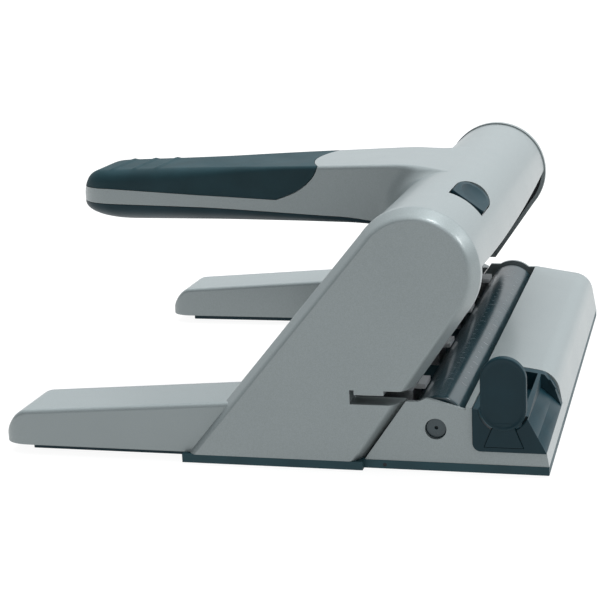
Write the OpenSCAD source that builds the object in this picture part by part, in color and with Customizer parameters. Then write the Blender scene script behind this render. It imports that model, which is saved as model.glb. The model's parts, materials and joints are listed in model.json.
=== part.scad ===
// Multi-hole punch: a long-lever desk punch with four adjustable punch heads.
// Frame: +X to the right, +Y towards the handle, +Z up, millimetres.
// The origin is on the desk, under the line of the four holes, at mid width.

/* [Overall] */
// Width over the two side covers
body_w = 328; // [300:2:360]
// Height of the pivot axis above the desk
pivot_z = 101; // [98:0.5:106]
// Distance of the pivot axis in front of the hole line
pivot_reach = 20; // [18:0.5:22]
// Angle of the side cheeks from the vertical
lean = 37.4; // [34:0.2:40]
// Height of the dark base strip
strip_h = 5; // [4.5:0.1:6]

/* [Side covers] */
// Radius of the round ears at the pivot
ear_r = 32.5; // [31:0.5:35]
// Thickness of an ear along the pivot axis
ear_t = 14; // [12:0.5:16]
// Wall of the moulded covers
cover_wall = 2.5; // [2:0.1:3]
// Depth of the rounded shoulder, measured in from the outer face
shoulder_d = 9; // [6:0.5:10]
// Height of the rounded shoulder, measured in from the outline
shoulder_h = 5.4; // [4:0.2:6]
// Spread of each cheek edge towards the base, in degrees
cheek_flare = 2.5; // [1.5:0.25:3.5]
// Width of a leg
leg_w = 41; // [39:0.5:45]
// Distance from the hole line to the tip of a leg
leg_reach = 204.5; // [195:0.5:215]
// Height of a leg where it leaves the cheek
leg_root_h = 33.5; // [31:0.5:35]
// Height of a leg near its tip
leg_tip_h = 22.9; // [20:0.1:26]
// Radius along the upper edges of a leg
leg_edge_r = 2.5; // [1.5:0.5:4]

/* [Lever] */
// Travel of the lever, in degrees
lever_travel = 24; // [20:1:25]
// Radius of the round hood
hood_r = 31.7; // [30.5:0.1:34]
// Width of the handle at the hood
handle_w = 70; // [66:1:74]
// Width of the handle at the grip
handle_tip_w = 53; // [50:1:60]
// Distance from the hole line to the tip of the handle
handle_reach = 210; // [200:1:220]
// Height of the handle's top line above the pivot axis, at the hole line
handle_rise = 34.4; // [33.8:0.1:36]
// Fall of the handle's top line from the hole line to the tip
handle_fall = 5.8; // [4:0.2:7]
// Height of the pivot axis above the flat underside of the handle
handle_sink = 3; // [1:0.2:4]
// Radius of the hollow blend between the handle and the hood
blend_r = 12; // [9:0.5:13]
// Height of the grip's three ribs
rib_h = 0.9; // [0.4:0.1:1.2]
// Skin of the hood and the handle
skin = 2.5; // [2:0.1:3]
// Radius of the pivot shaft
shaft_r = 6; // [5:0.25:7]
// Thickness of a lever arm plate
arm_t = 5; // [4:0.5:6]

/* [Paper table] */
// Distance from the hole line to the front edge of the base
front_reach = 85.3; // [82:0.5:90]
// Height of the table at its rear lip
lip_z = 34.6; // [33.5:0.1:35]
// Distance from the hole line to the rear lip of the table
lip_reach = 44.6; // [44.2:0.1:47]
// Fall of the table towards the front, in degrees
table_fall = 9; // [6:0.5:11]
// Radius where the table rolls over to the front
front_r = 13; // [11:0.5:15]
// Inset of the housing ends behind the outer faces of the side covers
end_inset = 4.5; // [3.5:0.5:6]

/* [Scale drum] */
// Radius of the scale drum
drum_r = 14.5; // [13.5:0.1:14.7]
// Distance of the drum axis in front of the hole line
drum_reach = 29.4; // [29:0.1:30]
// Height of the drum axis
drum_z = 22.4; // [22:0.1:22.8]
// Radius of a drum journal
journal_r = 5.35; // [4.5:0.05:5.8]
// Wall of the drum
drum_wall = 2; // [1.5:0.1:3]

/* [Punch heads] */
// Distance between neighbouring holes
hole_pitch = 80; // [76:1:84]
// Adjustment of each head to either side
head_slide = 15; // [10:1:18]
// Width of a head
head_w = 24; // [20:1:26]
// Radius of a punched hole
pin_r = 2.75; // [2.5:0.05:3]
// Height of the die's top face, where the sheets lie
sheet_z = 35.8; // [35.5:0.1:36]
// Clear height of the paper throat
throat_h = 6.8; // [6.2:0.1:7]
// Distance from the hole line to the paper stop
margin_d = 12.2; // [11.5:0.1:13]
// Radius of the rods that carry the heads
rod_r = 3; // [2.5:0.1:3.4]
// Width of the bright die plate
die_w = 16; // [14:0.5:20]

/* [Paper guide] */
// Length of the guide housing along the table
guide_l = 83; // [70:1:90]
// Pull-out of the paper guide
guide_travel = 120; // [90:5:120]
// Radius of the oval stop tab
tab_r = 11.6; // [10.5:0.1:12.5]
// Length of the straight sides of the stop tab
tab_straight = 14.6; // [12:0.2:17]
// Thickness of the stop tab
tab_t = 3; // [2.4:0.1:3.6]

/* [Lever lock] */
// Slide of the lock
lock_travel = 6; // [5:0.5:6.5]
// Radius of the lock bolt
bolt_r = 2.5; // [2:0.1:3]

/* [Chip flap] */
// Width of the chip flap
flap_w = 240; // [200:5:260]
// Length of the chip flap from its hinge
flap_l = 31; // [28:0.5:32]
// Radius of the hinge wire
wire_r = 1; // [0.8:0.05:1.2]

/* [Fasteners and feet] */
// Radius of a screw shank
screw_r = 2; // [1.5:0.1:2.2]
// Radius of a screw head
screw_head_r = 3.6; // [3:0.1:4]
// Radius of a rubber pad
pad_r = 8; // [6:0.5:9]

/* [Hidden] */

// Colours as the photograph shows them
silver = [0.66, 0.69, 0.70];
petrol = [0.13, 0.20, 0.23];
grip_tone = [0.22, 0.29, 0.32];
steel = [0.72, 0.73, 0.75];
rubber_tone = [0.08, 0.08, 0.09];

// Facets of round forms, and of the hulled soft edges
round_n = 64;
soft_n = 20;
// Overrun of a cut past the faces that it goes through
over = 1;
// Thickness of one slice of a hulled form
slice = 0.05;
// Running gap of a turning or sliding fit, on the radius
run_gap = 0.06;
// Gap of a seated fit, on the radius
seat_gap = 0.02;
// Gap between neighbouring bodies
body_gap = 0.5;
// Gap between neighbouring covers
seam = 0.2;

half_w = body_w / 2;
ear_in = half_w - ear_t;
pivot_y = -pivot_reach;
lean_s = sin(lean);
lean_c = cos(lean);

// An edge that runs tangent out of a circle lies a hair inside it
tangent_share = 0.9998;

// A point given by its distance across the leaning axis and along it, from the pivot
function lean_pt(across, along) =
  [pivot_y + across * lean_c + along * lean_s, pivot_z + across * lean_s - along * lean_c];
// A point on a cheek edge: side is 1 behind the axis and -1 in front, r the ear's radius there
flare_t = tan(cheek_flare);
flare_c = cos(cheek_flare);
function edge_pt(side, r, along) = lean_pt(side * (r / flare_c + along * flare_t), along);
// How far along the leaning axis that edge comes down to height z
function edge_at(side, r, z) =
  (pivot_z + side * r * lean_s / flare_c - z) / (lean_c - side * flare_t * lean_s);
// Lever rotation of a point given relative to the pivot
function turned(p, a) = [p[0] * cos(a) + p[1] * sin(a), p[1] * cos(a) - p[0] * sin(a)];

// An outline in the YZ plane, extruded along X from x0 to x1
module slab(x0, x1) {
  translate([x0, 0, 0]) rotate([90, 0, 90]) linear_extrude(height = x1 - x0) children();
}
// A cylinder along X
module rod_x(x0, x1, y, z, r) {
  translate([x0, y, z]) rotate([0, 90, 0]) cylinder(r = r, h = x1 - x0, $fn = round_n);
}
// The right-hand shape, mirrored to the left for side -1
module handed(side) {
  mirror([side < 0 ? 1 : 0, 0, 0]) children();
}

// Paper slot in the cheeks: a low rear part and a taller mouth
slot_sink = 0.7;
slot_floor_z = sheet_z - slot_sink;
slot_low_h = 4.9;
slot_mouth_h = 7.3;
slot_step_y = -4.5;
slot_end_gap = 0.6;
slot_relief_w = 2.2;
slot_end_y = margin_d + slot_end_gap;

// Side covers
leg_face_inset = 4;
leg_out = half_w - leg_face_inset;
leg_in = leg_out - leg_w;
cheek_back_y = edge_pt(1, ear_r, edge_at(1, ear_r, strip_h))[0];
cheek_front_y = edge_pt(-1, ear_r, edge_at(-1, ear_r, strip_h))[0];
leg_root_y = 60;
leg_round_l = 14;
leg_nose_in = 10;
boss_r = 4.2;

// The cheek: a round ear with two leaning tangent edges down to the base strip
module cheek_2d(inset) {
  r = ear_r - inset;
  n = round_n * 0.75;
  a0 = lean - cheek_flare;
  sweep = 180 + 2 * cheek_flare;
  polygon(concat(
    [for (k = [0 : n]) [pivot_y + r * cos(a0 + sweep * k / n), pivot_z + r * sin(a0 + sweep * k / n)]],
    [edge_pt(-1, r, edge_at(-1, r, strip_h)), edge_pt(1, r, edge_at(1, r, strip_h))]));
}
module slot_2d(grow) {
  translate([slot_step_y - ear_r, slot_floor_z - grow])
    square([ear_r + slot_end_y - slot_step_y + grow, slot_low_h + 2 * grow]);
  translate([slot_step_y - ear_r, slot_floor_z - grow])
    square([ear_r + grow, slot_mouth_h + 2 * grow]);
  translate([slot_end_y - slot_relief_w - grow, slot_floor_z - grow])
    square([slot_relief_w + 2 * grow, slot_mouth_h + 2 * grow]);
}
// Slices of the cheek's rounded shoulder: share of the depth, share of the height
shoulder_shares = [[1, 0], [0.5, 0.18], [0.2, 0.48], [0, 1]];
module cheek_solid() {
  hull() {
    slab(ear_in, half_w - shoulder_d) cheek_2d(0);
    for (s = shoulder_shares)
      slab(half_w - shoulder_d * s[0] - slice, half_w - shoulder_d * s[0])
        cheek_2d(shoulder_h * s[1]);
  }
}
// One upright slice across a leg, with rounded upper corners
module leg_slice(y, top, low, inset) {
  translate([0, y + slice, 0]) rotate([90, 0, 0]) linear_extrude(height = slice) {
    translate([leg_in + inset, low]) square([leg_w - 2 * inset, top - low - leg_edge_r]);
    for (x = [leg_in + inset + leg_edge_r, leg_out - inset - leg_edge_r])
      translate([x, top - leg_edge_r]) circle(r = leg_edge_r, $fn = soft_n);
  }
}
leg_flat_y = leg_reach - leg_round_l;
// Slices of the rounded tip, as shares: distance from the tip, top, bottom, inset in plan
nose_shares = [[1, 1, 0, 0], [0.43, 0.79, 0, 0.15], [0.1, 0.475, 0, 0.5], [0, 0.31, 0.1, 0.8]];
module leg_solid(inset) {
  hull() {
    leg_slice(leg_root_y, leg_root_h - inset, strip_h, inset);
    for (s = inset > 0 ? [nose_shares[0], nose_shares[1]] : nose_shares)
      leg_slice(leg_reach - leg_round_l * s[0] - slice - inset,
        strip_h + (leg_tip_h - strip_h) * s[1] - inset, strip_h + (leg_tip_h - strip_h) * s[2],
        inset + leg_nose_in * s[3]);
  }
}
// Places of the cover screws, as across and along shares of the ear radius
screw_shares = [[0, 0.55], [0.5, 1.9], [-0.35, 3.0]];
function screw_pt(s) = lean_pt(ear_r * s[0], ear_r * s[1]);
upright_t = 4;
upright_out = ear_in + upright_t;
// Share of the shoulder's depth where the cover's cavity steps in, and how far it steps
cavity_share = 0.55;
screw_end_gap = 1.5;
screw_bore_extra = 0.5;
module side_cover(side) {
  color(silver) handed(side) difference() {
    union() {
      difference() {
        union() {
          cheek_solid();
          leg_solid(0);
        }
        slab(ear_in - over, half_w - shoulder_d * cavity_share) difference() {
          cheek_2d(cover_wall);
          slot_2d(cover_wall);
        }
        slab(ear_in - over, half_w - cover_wall) difference() {
          cheek_2d(cover_wall + shoulder_h / 2);
          slot_2d(cover_wall);
        }
        intersection() {
          leg_solid(cover_wall);
          translate([leg_in, leg_root_y + cover_wall, 0])
            cube([leg_w, leg_reach - leg_root_y, leg_root_h]);
        }
        translate([leg_in + cover_wall, leg_root_y - over, strip_h - over])
          cube([leg_w - 2 * cover_wall, leg_flat_y - leg_root_y, over + sole_flange_t]);
      }
      for (s = screw_shares) {
        p = screw_pt(s);
        rod_x(upright_out, half_w - cover_wall, p[0], p[1], boss_r);
      }
    }
    slab(leg_in - over, half_w + over) slot_2d(0);
    for (s = screw_shares) {
      p = screw_pt(s);
      rod_x(upright_out - over, half_w - cover_wall - screw_end_gap, p[0], p[1],
        screw_r + seat_gap);
    }
  }
}
module left_side_cover() { side_cover(-1); }
module right_side_cover() { side_cover(1); }

// Leg soles: a flange inside the leg and a lower inset sole
sole_in = 8;
sole_lift = 0.6;
sole_flange_t = 2;
sole_back_y = cheek_back_y + seam;
module leg_sole(side) {
  color(petrol) handed(side) {
    x0 = leg_in + cover_wall + seam;
    translate([x0, sole_back_y, strip_h])
      cube([leg_w - 2 * (cover_wall + seam), leg_flat_y - sole_in - sole_back_y, sole_flange_t]);
    difference() {
      translate([leg_in + sole_in, sole_back_y, sole_lift])
        cube([leg_w - 2 * sole_in, leg_flat_y - sole_back_y, strip_h - sole_lift]);
      translate([leg_in + leg_w / 2, leg_flat_y - sole_in - pad_r, 0])
        cylinder(r = pad_r + seam, h = sole_lift + pad_sink, $fn = round_n);
    }
  }
}
module leg_sole_left() { leg_sole(-1); }
module leg_sole_right() { leg_sole(1); }

// Rubber pads, sunk into the pan and the soles
pad_sink = 1;
pad_in_share = 2.2;
pad_places = [
  [leg_in + leg_w / 2, leg_flat_y - sole_in - pad_r],
  [half_w - end_inset - pad_in_share * pad_r, -front_reach + pad_in_share * pad_r]];
module foot_pads() {
  color(rubber_tone) for (side = [-1, 1], p = pad_places)
    translate([side * p[0], p[1], 0])
      cylinder(r = pad_r, h = sole_lift + pad_sink, $fn = round_n);
}

// Base pan
pan_floor_t = 2.2;
pan_rim_t = 2.5;
end_x = half_w - end_inset;
pan_x = end_x + seam;
foot_half_w = 12;
foot_front = 12;
foot_back = 8;
wire_y = -3.2;
wire_z = 2.6;
knuckle_r = 1.8;
flap_gap = 0.4;
// The floor is open over the flap; the hinge line lies inside the opening
module pan_outline() {
  translate([-pan_x, -front_reach]) square([2 * pan_x, front_reach + cheek_front_y + over]);
  translate([-half_w, cheek_front_y]) square([body_w, cheek_back_y - cheek_front_y]);
}
module pan_inside() {
  translate([-pan_x + pan_rim_t, -front_reach + pan_rim_t])
    square([2 * (pan_x - pan_rim_t), front_reach + cheek_front_y + over]);
  translate([-half_w + pan_rim_t, cheek_front_y + pan_rim_t])
    square([body_w - 2 * pan_rim_t, cheek_back_y - cheek_front_y - 2 * pan_rim_t]);
}
module base_pan() {
  color(petrol) difference() {
    union() {
      difference() {
        translate([0, 0, sole_lift]) linear_extrude(height = strip_h - sole_lift) pan_outline();
        translate([0, 0, sole_lift + pan_floor_t]) linear_extrude(height = strip_h) pan_inside();
        translate([-flap_w / 2 - flap_gap, wire_y - knuckle_r - flap_gap, 0])
          cube([flap_w + 2 * flap_gap, flap_l + knuckle_r + 2 * flap_gap, strip_h]);
      }
      // Centre foot: it carries the hinge wire at mid width and stands on the desk
      translate([-foot_half_w, wire_y - foot_front, 0])
        cube([2 * foot_half_w, foot_front + foot_back, strip_h]);
      for (p = beam_screw_places) translate([p[0], p[1], sole_lift])
        cylinder(r = boss_r + over, h = strip_h - sole_lift, $fn = round_n);
    }
    for (side = [-1, 1]) translate([side * pad_places[1][0], pad_places[1][1], 0])
      cylinder(r = pad_r + seam, h = sole_lift + pad_sink, $fn = round_n);
    rod_x(-half_w - over, half_w + over, wire_y, wire_z, wire_r + seat_gap);
    for (p = base_screw_places) translate([p[0], p[1], 0]) {
      cylinder(r = screw_r + seat_gap, h = strip_h + over, $fn = round_n);
      cylinder(r = screw_head_r + seat_gap, h = sole_lift + base_head_t, $fn = round_n);
    }
  }
}
// Hinge wire of the chip flap, seated in the rims at both ends
module flap_wire() {
  color(steel) rod_x(-pan_x + seam, pan_x - seam, wire_y, wire_z, wire_r);
}
flap_t = 2;
flap_z = 1;
knuckle_n = 6;
knuckle_w = 18;
module chip_flap() {
  color(petrol) difference() {
    union() {
      difference() {
        translate([-flap_w / 2, wire_y, flap_z]) cube([flap_w, flap_l, flap_t]);
        translate([-foot_half_w - flap_gap, wire_y - over, 0])
          cube([2 * (foot_half_w + flap_gap), over + foot_back + flap_gap, strip_h]);
      }
      for (i = [0 : knuckle_n - 1])
        rod_x(-flap_w / 2 + i * (flap_w - knuckle_w) / (knuckle_n - 1),
          -flap_w / 2 + i * (flap_w - knuckle_w) / (knuckle_n - 1) + knuckle_w,
          wire_y, wire_z, knuckle_r);
      translate([-knuckle_w, wire_y + flap_l - 2 * flap_t, flap_z + flap_t])
        cube([2 * knuckle_w, flap_t, flap_t]);
    }
    rod_x(-half_w, half_w, wire_y, wire_z, wire_r + run_gap);
    for (i = [0 : knuckle_n - 2])
      translate([-flap_w / 2 + i * (flap_w - knuckle_w) / (knuckle_n - 1) + knuckle_w,
        wire_y - knuckle_r - over, 0])
        cube([(flap_w - knuckle_w) / (knuckle_n - 1) - knuckle_w, knuckle_r * 2 + over + flap_gap,
          strip_h]);
  }
}

// Screws up through the pan into the guide channel's feet and the rear beam's flange
base_head_t = 1.4;
beam_y = 31;
beam_t = 3;
beam_top_z = 26;
beam_flange_l = 14;
guide_end_x = -end_x + guide_l;
guide_rail_y = -61;
channel_gap = 4;
channel_x0 = guide_end_x + cover_wall + channel_gap;
channel_x1 = 122;
channel_wall = 2.5;
channel_foot_l = 12;
beam_screw_shares = [0.32, 0.62];
beam_screw_places = [for (x = [-1, 1])
  [x * body_w * beam_screw_shares[0], beam_y + beam_flange_l * beam_screw_shares[1]]];
base_screw_places = concat(beam_screw_places,
  [for (x = [channel_x0, channel_x1 - channel_foot_l]) [x + channel_foot_l / 2, guide_rail_y]]);
module base_screws() {
  color(steel) for (p = base_screw_places) translate([p[0], p[1], sole_lift + seam]) {
    cylinder(r = screw_head_r, h = base_head_t - seam, $fn = round_n);
    cylinder(r = screw_r, h = strip_h + beam_t - sole_lift - 2 * seam, $fn = round_n);
  }
}
// Folded steel beam that ties the two uprights behind the heads
module rear_beam() {
  color(steel) difference() {
    union() {
      translate([-ear_in, beam_y, strip_h]) cube([2 * ear_in, beam_t, beam_top_z - strip_h]);
      translate([-leg_in + seam, beam_y, strip_h])
        cube([2 * (leg_in - seam), beam_flange_l, beam_t]);
    }
    for (p = base_screw_places) translate([p[0], p[1], 0])
      cylinder(r = screw_r + seat_gap, h = beam_top_z, $fn = round_n);
  }
}

// Paper table housing
table_s = sin(table_fall);
table_c = cos(table_fall);
lip_y = -lip_reach;
lip_flange_h = 9;
lip_flange_t = 1.8;
// Centre of the front roll: under the fall line, with the front face at front_reach
front_face_lean = 10;
face_s = sin(front_face_lean);
face_c = cos(front_face_lean);
// The roll's centre is where the two faces, moved in by the radius, meet
fall_t = tan(table_fall);
face_t = tan(front_face_lean);
roll_top0 = lip_z - front_r / table_c - lip_y * fall_t;
roll_face0 = -front_reach + front_r / face_c;
roll_y = (roll_face0 + face_t * (roll_top0 - strip_h)) / (1 - face_t * fall_t);
roll_c = [roll_y, lip_z + (roll_y - lip_y) * fall_t - front_r / table_c];
// Solid section of the table, moved in everywhere by inset
module table_2d(inset) {
  r = front_r - inset;
  translate(roll_c) circle(r = r, $fn = round_n);
  top = roll_c + r * [-table_s, table_c];
  face = roll_c + r * [-face_c, face_s];
  foot_z = strip_h - (inset > 0 ? over : 0);
  rear = lip_y - (inset > 0 ? -over : 0);
  polygon([top, face, [face[0] - (face[1] - foot_z) * face_s / face_c, foot_z], [rear, foot_z],
    [rear, top[1] + (rear - top[0]) * table_s / table_c]]);
}
arch_gap = 1.7;
wall_over = 0.4;
wall_top_z = sheet_z + wall_over;
// End wall of the housing: the table's section, carried back to the cheek over the drum's end
module end_wall_2d() {
  difference() {
    union() {
      table_2d(0);
      translate([-drum_reach, drum_z]) circle(r = drum_r + arch_gap, $fn = round_n);
      translate([lip_y, strip_h])
        square([lip_reach + cheek_front_y, wall_top_z - strip_h - arch_gap]);
      translate([-drum_reach, strip_h]) square([drum_reach + cheek_front_y, wall_top_z - strip_h]);
    }
    polygon([edge_pt(-1, ear_r + seam, 0), edge_pt(-1, ear_r + seam, edge_at(-1, ear_r, 0)),
      [half_w, 0], [half_w, pivot_z]]);
    translate([-front_reach - over, 0]) square([front_reach * 2, strip_h]);
  }
}
boss_l = 5;
boss_wall = 3.4;
guide_low_z = 12;
guide_in_y = -47.6;
cap_corner_r = 4;
// Side view of the guide housing's space: one rounded corner, low at the back
module cap_space_2d(gap) {
  r = cap_corner_r + gap;
  translate([-front_reach - over, guide_low_z - gap])
    square([front_reach + over + guide_in_y + gap - r, lip_z]);
  translate([-front_reach - over, guide_low_z - gap + r])
    square([front_reach + over + guide_in_y + gap, lip_z - r]);
  translate([guide_in_y + gap - r, guide_low_z - gap + r]) circle(r = r, $fn = round_n);
}
module guide_notch() {
  slab(-half_w - over, guide_end_x) cap_space_2d(0);
}
module paper_table() {
  color(silver) difference() {
    union() {
      slab(-end_x, end_x) difference() {
        table_2d(0);
        table_2d(cover_wall);
      }
      slab(-end_x, end_x) translate([lip_y - lip_flange_t, lip_z - lip_flange_h])
        square([lip_flange_t, lip_flange_h - over]);
      for (side = [-1, 1]) handed(side) {
        slab(end_x - cover_wall, end_x) end_wall_2d();
        rod_x(end_x - cover_wall - boss_l, end_x, -drum_reach, drum_z, journal_r + boss_wall);
      }
      // Inner walls that close the table beside the guide housing
      intersection() {
        slab(guide_end_x, guide_end_x + cover_wall) table_2d(0);
        translate([guide_end_x, -front_reach, guide_low_z - cover_wall])
          cube([cover_wall, front_reach, lip_z]);
      }
    }
    guide_notch();
    translate([guide_end_x - over, guide_rail_y - guide_rail_w / 2 - flap_gap,
      guide_rail_z - guide_rail_h / 2 - flap_gap])
      cube([cover_wall + 2 * over, guide_rail_w + 2 * flap_gap, guide_rail_h + 2 * flap_gap]);
    rod_x(-half_w, half_w, -drum_reach, drum_z, journal_r + run_gap);
  }
}

// Scale drum: a closed tube with two journals, each with a small centre hole
drum_half_l = end_x - cover_wall - boss_l - body_gap;
journal_sink = 2.2;
centre_hole_r = 0.9;
module scale_drum() {
  color(petrol) difference() {
    union() {
      rod_x(-drum_half_l, drum_half_l, -drum_reach, drum_z, drum_r);
      rod_x(-end_x + journal_sink, end_x - journal_sink, -drum_reach, drum_z, journal_r);
    }
    rod_x(-drum_half_l + drum_wall, drum_half_l - drum_wall, -drum_reach, drum_z,
      drum_r - drum_wall);
    for (side = [-1, 1]) handed(side)
      rod_x(end_x - boss_l, end_x, -drum_reach, drum_z, centre_hole_r);
  }
}

// Rear cover: a leaning panel between the cheeks, with a pocket for the handle's root
rear_sink = 1.3;
rear_r = ear_r - rear_sink;
rear_top = 15;
pocket_side_gap = 3;
pocket_half_w = handle_w / 2 + pocket_side_gap;
pocket_end = 72;
pocket_floor_top = 44;
pocket_depth = 14.5;
// The hollow blends of the lever swing past a wider notch above the pocket
notch_gap = 1.2;
notch_half_w = handle_w / 2 + blend_r + notch_gap;
notch_end = 36;
module panel_2d(out, t, a0, a1) {
  polygon([edge_pt(1, out, a0), edge_pt(1, out, a1), edge_pt(1, out - t, a1),
    edge_pt(1, out - t, a0)]);
}
module rear_cover() {
  foot_a = edge_at(1, rear_r, strip_h);
  leg_a = edge_at(1, rear_r - cover_wall, leg_root_h + seam);
  color(silver) difference() {
    union() {
      slab(-ear_in, ear_in) panel_2d(rear_r, cover_wall, rear_top, leg_a);
      slab(-leg_in + seam, leg_in - seam)
        panel_2d(rear_r, cover_wall, leg_a - over, foot_a - cover_wall);
      slab(-pocket_half_w - cover_wall, pocket_half_w + cover_wall)
        panel_2d(rear_r - seam, pocket_depth + cover_wall, pocket_floor_top,
          pocket_end + cover_wall);
    }
    slab(-pocket_half_w, pocket_half_w)
      panel_2d(rear_r + over, pocket_depth + over, rear_top - over, pocket_end);
    slab(-notch_half_w, notch_half_w)
      panel_2d(rear_r + over, cover_wall + 2 * over, rear_top - over, notch_end);
  }
}

// Steel uprights: nested in the side covers, with the bearing holes
upright_nest_gap = 0.5;
upright_gap = cover_wall + upright_nest_gap;
module upright(side) {
  color(steel) handed(side) difference() {
    slab(ear_in, upright_out) difference() {
      cheek_2d(upright_gap);
      slot_2d(upright_gap);
    }
    translate([ear_in - over, -half_w, 0]) cube([upright_t + 2 * over, body_w, strip_h + seam]);
    rod_x(ear_in - over, upright_out + over, pivot_y, pivot_z, shaft_r + seat_gap);
    for (z = rod_zs)
      rod_x(ear_in - over, upright_out + over, rod_y, z, rod_r + seat_gap);
    for (s = screw_shares) {
      p = screw_pt(s);
      rod_x(ear_in - over, upright_out + over, p[0], p[1], screw_r + seat_gap);
      rod_x(ear_in - over, ear_in + screw_head_t, p[0], p[1], screw_head_r + seat_gap);
    }
    if (side < 0) for (a = [0, lever_travel]) {
      k = turned([bolt_rel[0], bolt_rel[1]], a);
      rod_x(ear_in - over, upright_out + over, pivot_y + k[0], pivot_z + k[1],
        bolt_r + flap_gap);
    }
  }
}
module left_upright() { upright(-1); }
module right_upright() { upright(1); }
screw_head_t = 2;
module cover_screws() {
  color(steel) for (side = [-1, 1]) handed(side) for (s = screw_shares) {
    p = screw_pt(s);
    rod_x(ear_in + seam, ear_in + screw_head_t, p[0], p[1], screw_head_r);
    rod_x(ear_in + screw_head_t - seam, half_w - cover_wall - screw_end_gap - screw_bore_extra,
      p[0], p[1], screw_r);
  }
}

// Punch heads, carried on two rods
rod_behind = 7;
rod_y = margin_d + rod_behind;
head_behind = 12.5;
head_back_y = margin_d + head_behind;
head_front_y = -13.3;
head_low_z = 24;
head_top_z = 62;
rod_zs = [29.2, 53];
die_t = 2.4;
die_gap = 0.1;
die_front_y = -19;
throat_top_z = sheet_z + throat_h;
chip_hole_r = 4;
head_n = 4;
function head_x(i) = (i - (head_n + 1) / 2) * hole_pitch;
module head_rods() {
  color(steel) for (z = rod_zs) rod_x(-upright_out, upright_out, rod_y, z, rod_r);
}
module head_frame(i) {
  color([0.50, 0.53, 0.55]) translate([head_x(i), 0, 0]) difference() {
    slab(-head_w / 2, head_w / 2) difference() {
      translate([head_front_y, head_low_z])
        square([head_back_y - head_front_y, head_top_z - head_low_z]);
      translate([head_front_y - over, sheet_z - die_t])
        square([margin_d - head_front_y + over, throat_h + die_t]);
    }
    for (z = rod_zs) rod_x(-head_w, head_w, rod_y, z, rod_r + run_gap);
    translate([0, 0, throat_top_z - over])
      cylinder(r = pin_r + run_gap, h = head_top_z - throat_top_z + 2 * over, $fn = round_n);
    translate([0, 0, head_low_z - over])
      cylinder(r = chip_hole_r, h = sheet_z - head_low_z, $fn = round_n);
  }
}
module die_plate(i) {
  color(steel) translate([head_x(i), 0, 0]) difference() {
    translate([-die_w / 2, die_front_y, sheet_z - die_t])
      cube([die_w, margin_d - die_front_y, die_t]);
    translate([0, 0, sheet_z - die_t - over])
      cylinder(r = pin_r + die_gap, h = die_t + 2 * over, $fn = round_n);
  }
}
// The pin rests just inside the head, and its cap waits under the presser bar
cap_r = 7;
cap_t = 4;
pin_rest_gap = 0.6;
pin_tip_z = throat_top_z + pin_rest_gap;
cam_angle = lever_travel / 2;
cam_c = [pivot_reach * cos(cam_angle), pivot_reach * sin(cam_angle)];
cam_r = 24;
cap_gap = 0.3;
cap_top_z = pivot_z + cam_c[1] - cam_r - cap_gap;
spring_wall = 2;
spring_gap = 0.85;
spring_in_r = pin_r + spring_gap;
module pin_spring(i) {
  color(steel) translate([head_x(i), 0, head_top_z]) difference() {
    cylinder(r = spring_in_r + spring_wall, h = cap_top_z - cap_t - head_top_z, $fn = round_n);
    translate([0, 0, -over])
      cylinder(r = spring_in_r, h = cap_top_z - head_top_z, $fn = round_n);
  }
}
module punch_pin(i) {
  color([0.82, 0.83, 0.85]) translate([head_x(i), 0, pin_tip_z])
    cylinder(r = pin_r, h = cap_top_z - cap_t / 4 - pin_tip_z, $fn = round_n);
}
module pin_cap(i) {
  color(steel) translate([head_x(i), 0, cap_top_z - cap_t]) difference() {
    cylinder(r = cap_r, h = cap_t, $fn = round_n);
    translate([0, 0, -over]) cylinder(r = pin_r + seat_gap, h = cap_t * 0.75 + over, $fn = round_n);
  }
}

// Pivot shaft with its clips
clip_t = 1.2;
clip_rim = 2.6;
clip_r = shaft_r + clip_rim;
module pivot_shaft() {
  color(steel) difference() {
    rod_x(-upright_out - 2 * clip_t, upright_out + 2 * clip_t, pivot_y, pivot_z, shaft_r);
    for (side = [-1, 1]) handed(side)
      translate([upright_out + seat_gap, 0, 0]) slab(0, clip_t) translate([pivot_y, pivot_z])
        difference() {
          circle(r = clip_r, $fn = round_n);
          circle(r = shaft_r * 0.8, $fn = round_n);
        }
  }
}
module shaft_clips() {
  color(steel) for (side = [-1, 1]) handed(side)
    slab(upright_out + 2 * seat_gap, upright_out + clip_t) translate([pivot_y, pivot_z])
      difference() {
        circle(r = clip_r, $fn = round_n);
        circle(r = shaft_r * 0.8 + seat_gap, $fn = round_n);
        translate([-shaft_r * 0.6, -clip_r - over]) square([shaft_r * 1.2, clip_r]);
      }
}

// Lever: hood and handle in one moulding
hood_half_w = ear_in - body_gap;
hood_in_r = hood_r - skin;
hood_back_angle = -10;
hood_front_angle = 187.5;
// Front edge of the hood: its drop below the pivot axis at mid width, and its rise to the ends
hood_drop = 3.2;
hood_arch = 5.6;
// Everything between the two edges of the hood, below it
module below_hood_2d() {
  polygon([[pivot_y, pivot_z],
    [pivot_y + 2 * hood_r * cos(hood_back_angle), pivot_z + 2 * hood_r * sin(hood_back_angle)],
    [pivot_y + 2 * hood_r, pivot_z - 2 * hood_r], [pivot_y - 2 * hood_r, pivot_z - 2 * hood_r],
    [pivot_y + 2 * hood_r * cos(hood_front_angle), pivot_z + 2 * hood_r * sin(hood_front_angle)]]);
}
module hood_2d() {
  difference() {
    translate([pivot_y, pivot_z]) circle(r = hood_r, $fn = round_n);
    translate([pivot_y, pivot_z]) circle(r = hood_in_r, $fn = round_n);
    below_hood_2d();
  }
}
module front_edge_cut() {
  n = round_n / 2;
  translate([0, pivot_y - hood_r / 2, 0]) rotate([90, 0, 0]) linear_extrude(height = hood_r)
    polygon(concat(
      [for (k = [-n / 2 : n / 2])
        [2 * half_w * k / n, pivot_z - hood_drop + hood_arch * pow(2 * k / n, 2)]],
      [[half_w, pivot_z - hood_r], [-half_w, pivot_z - hood_r]]));
}
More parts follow.
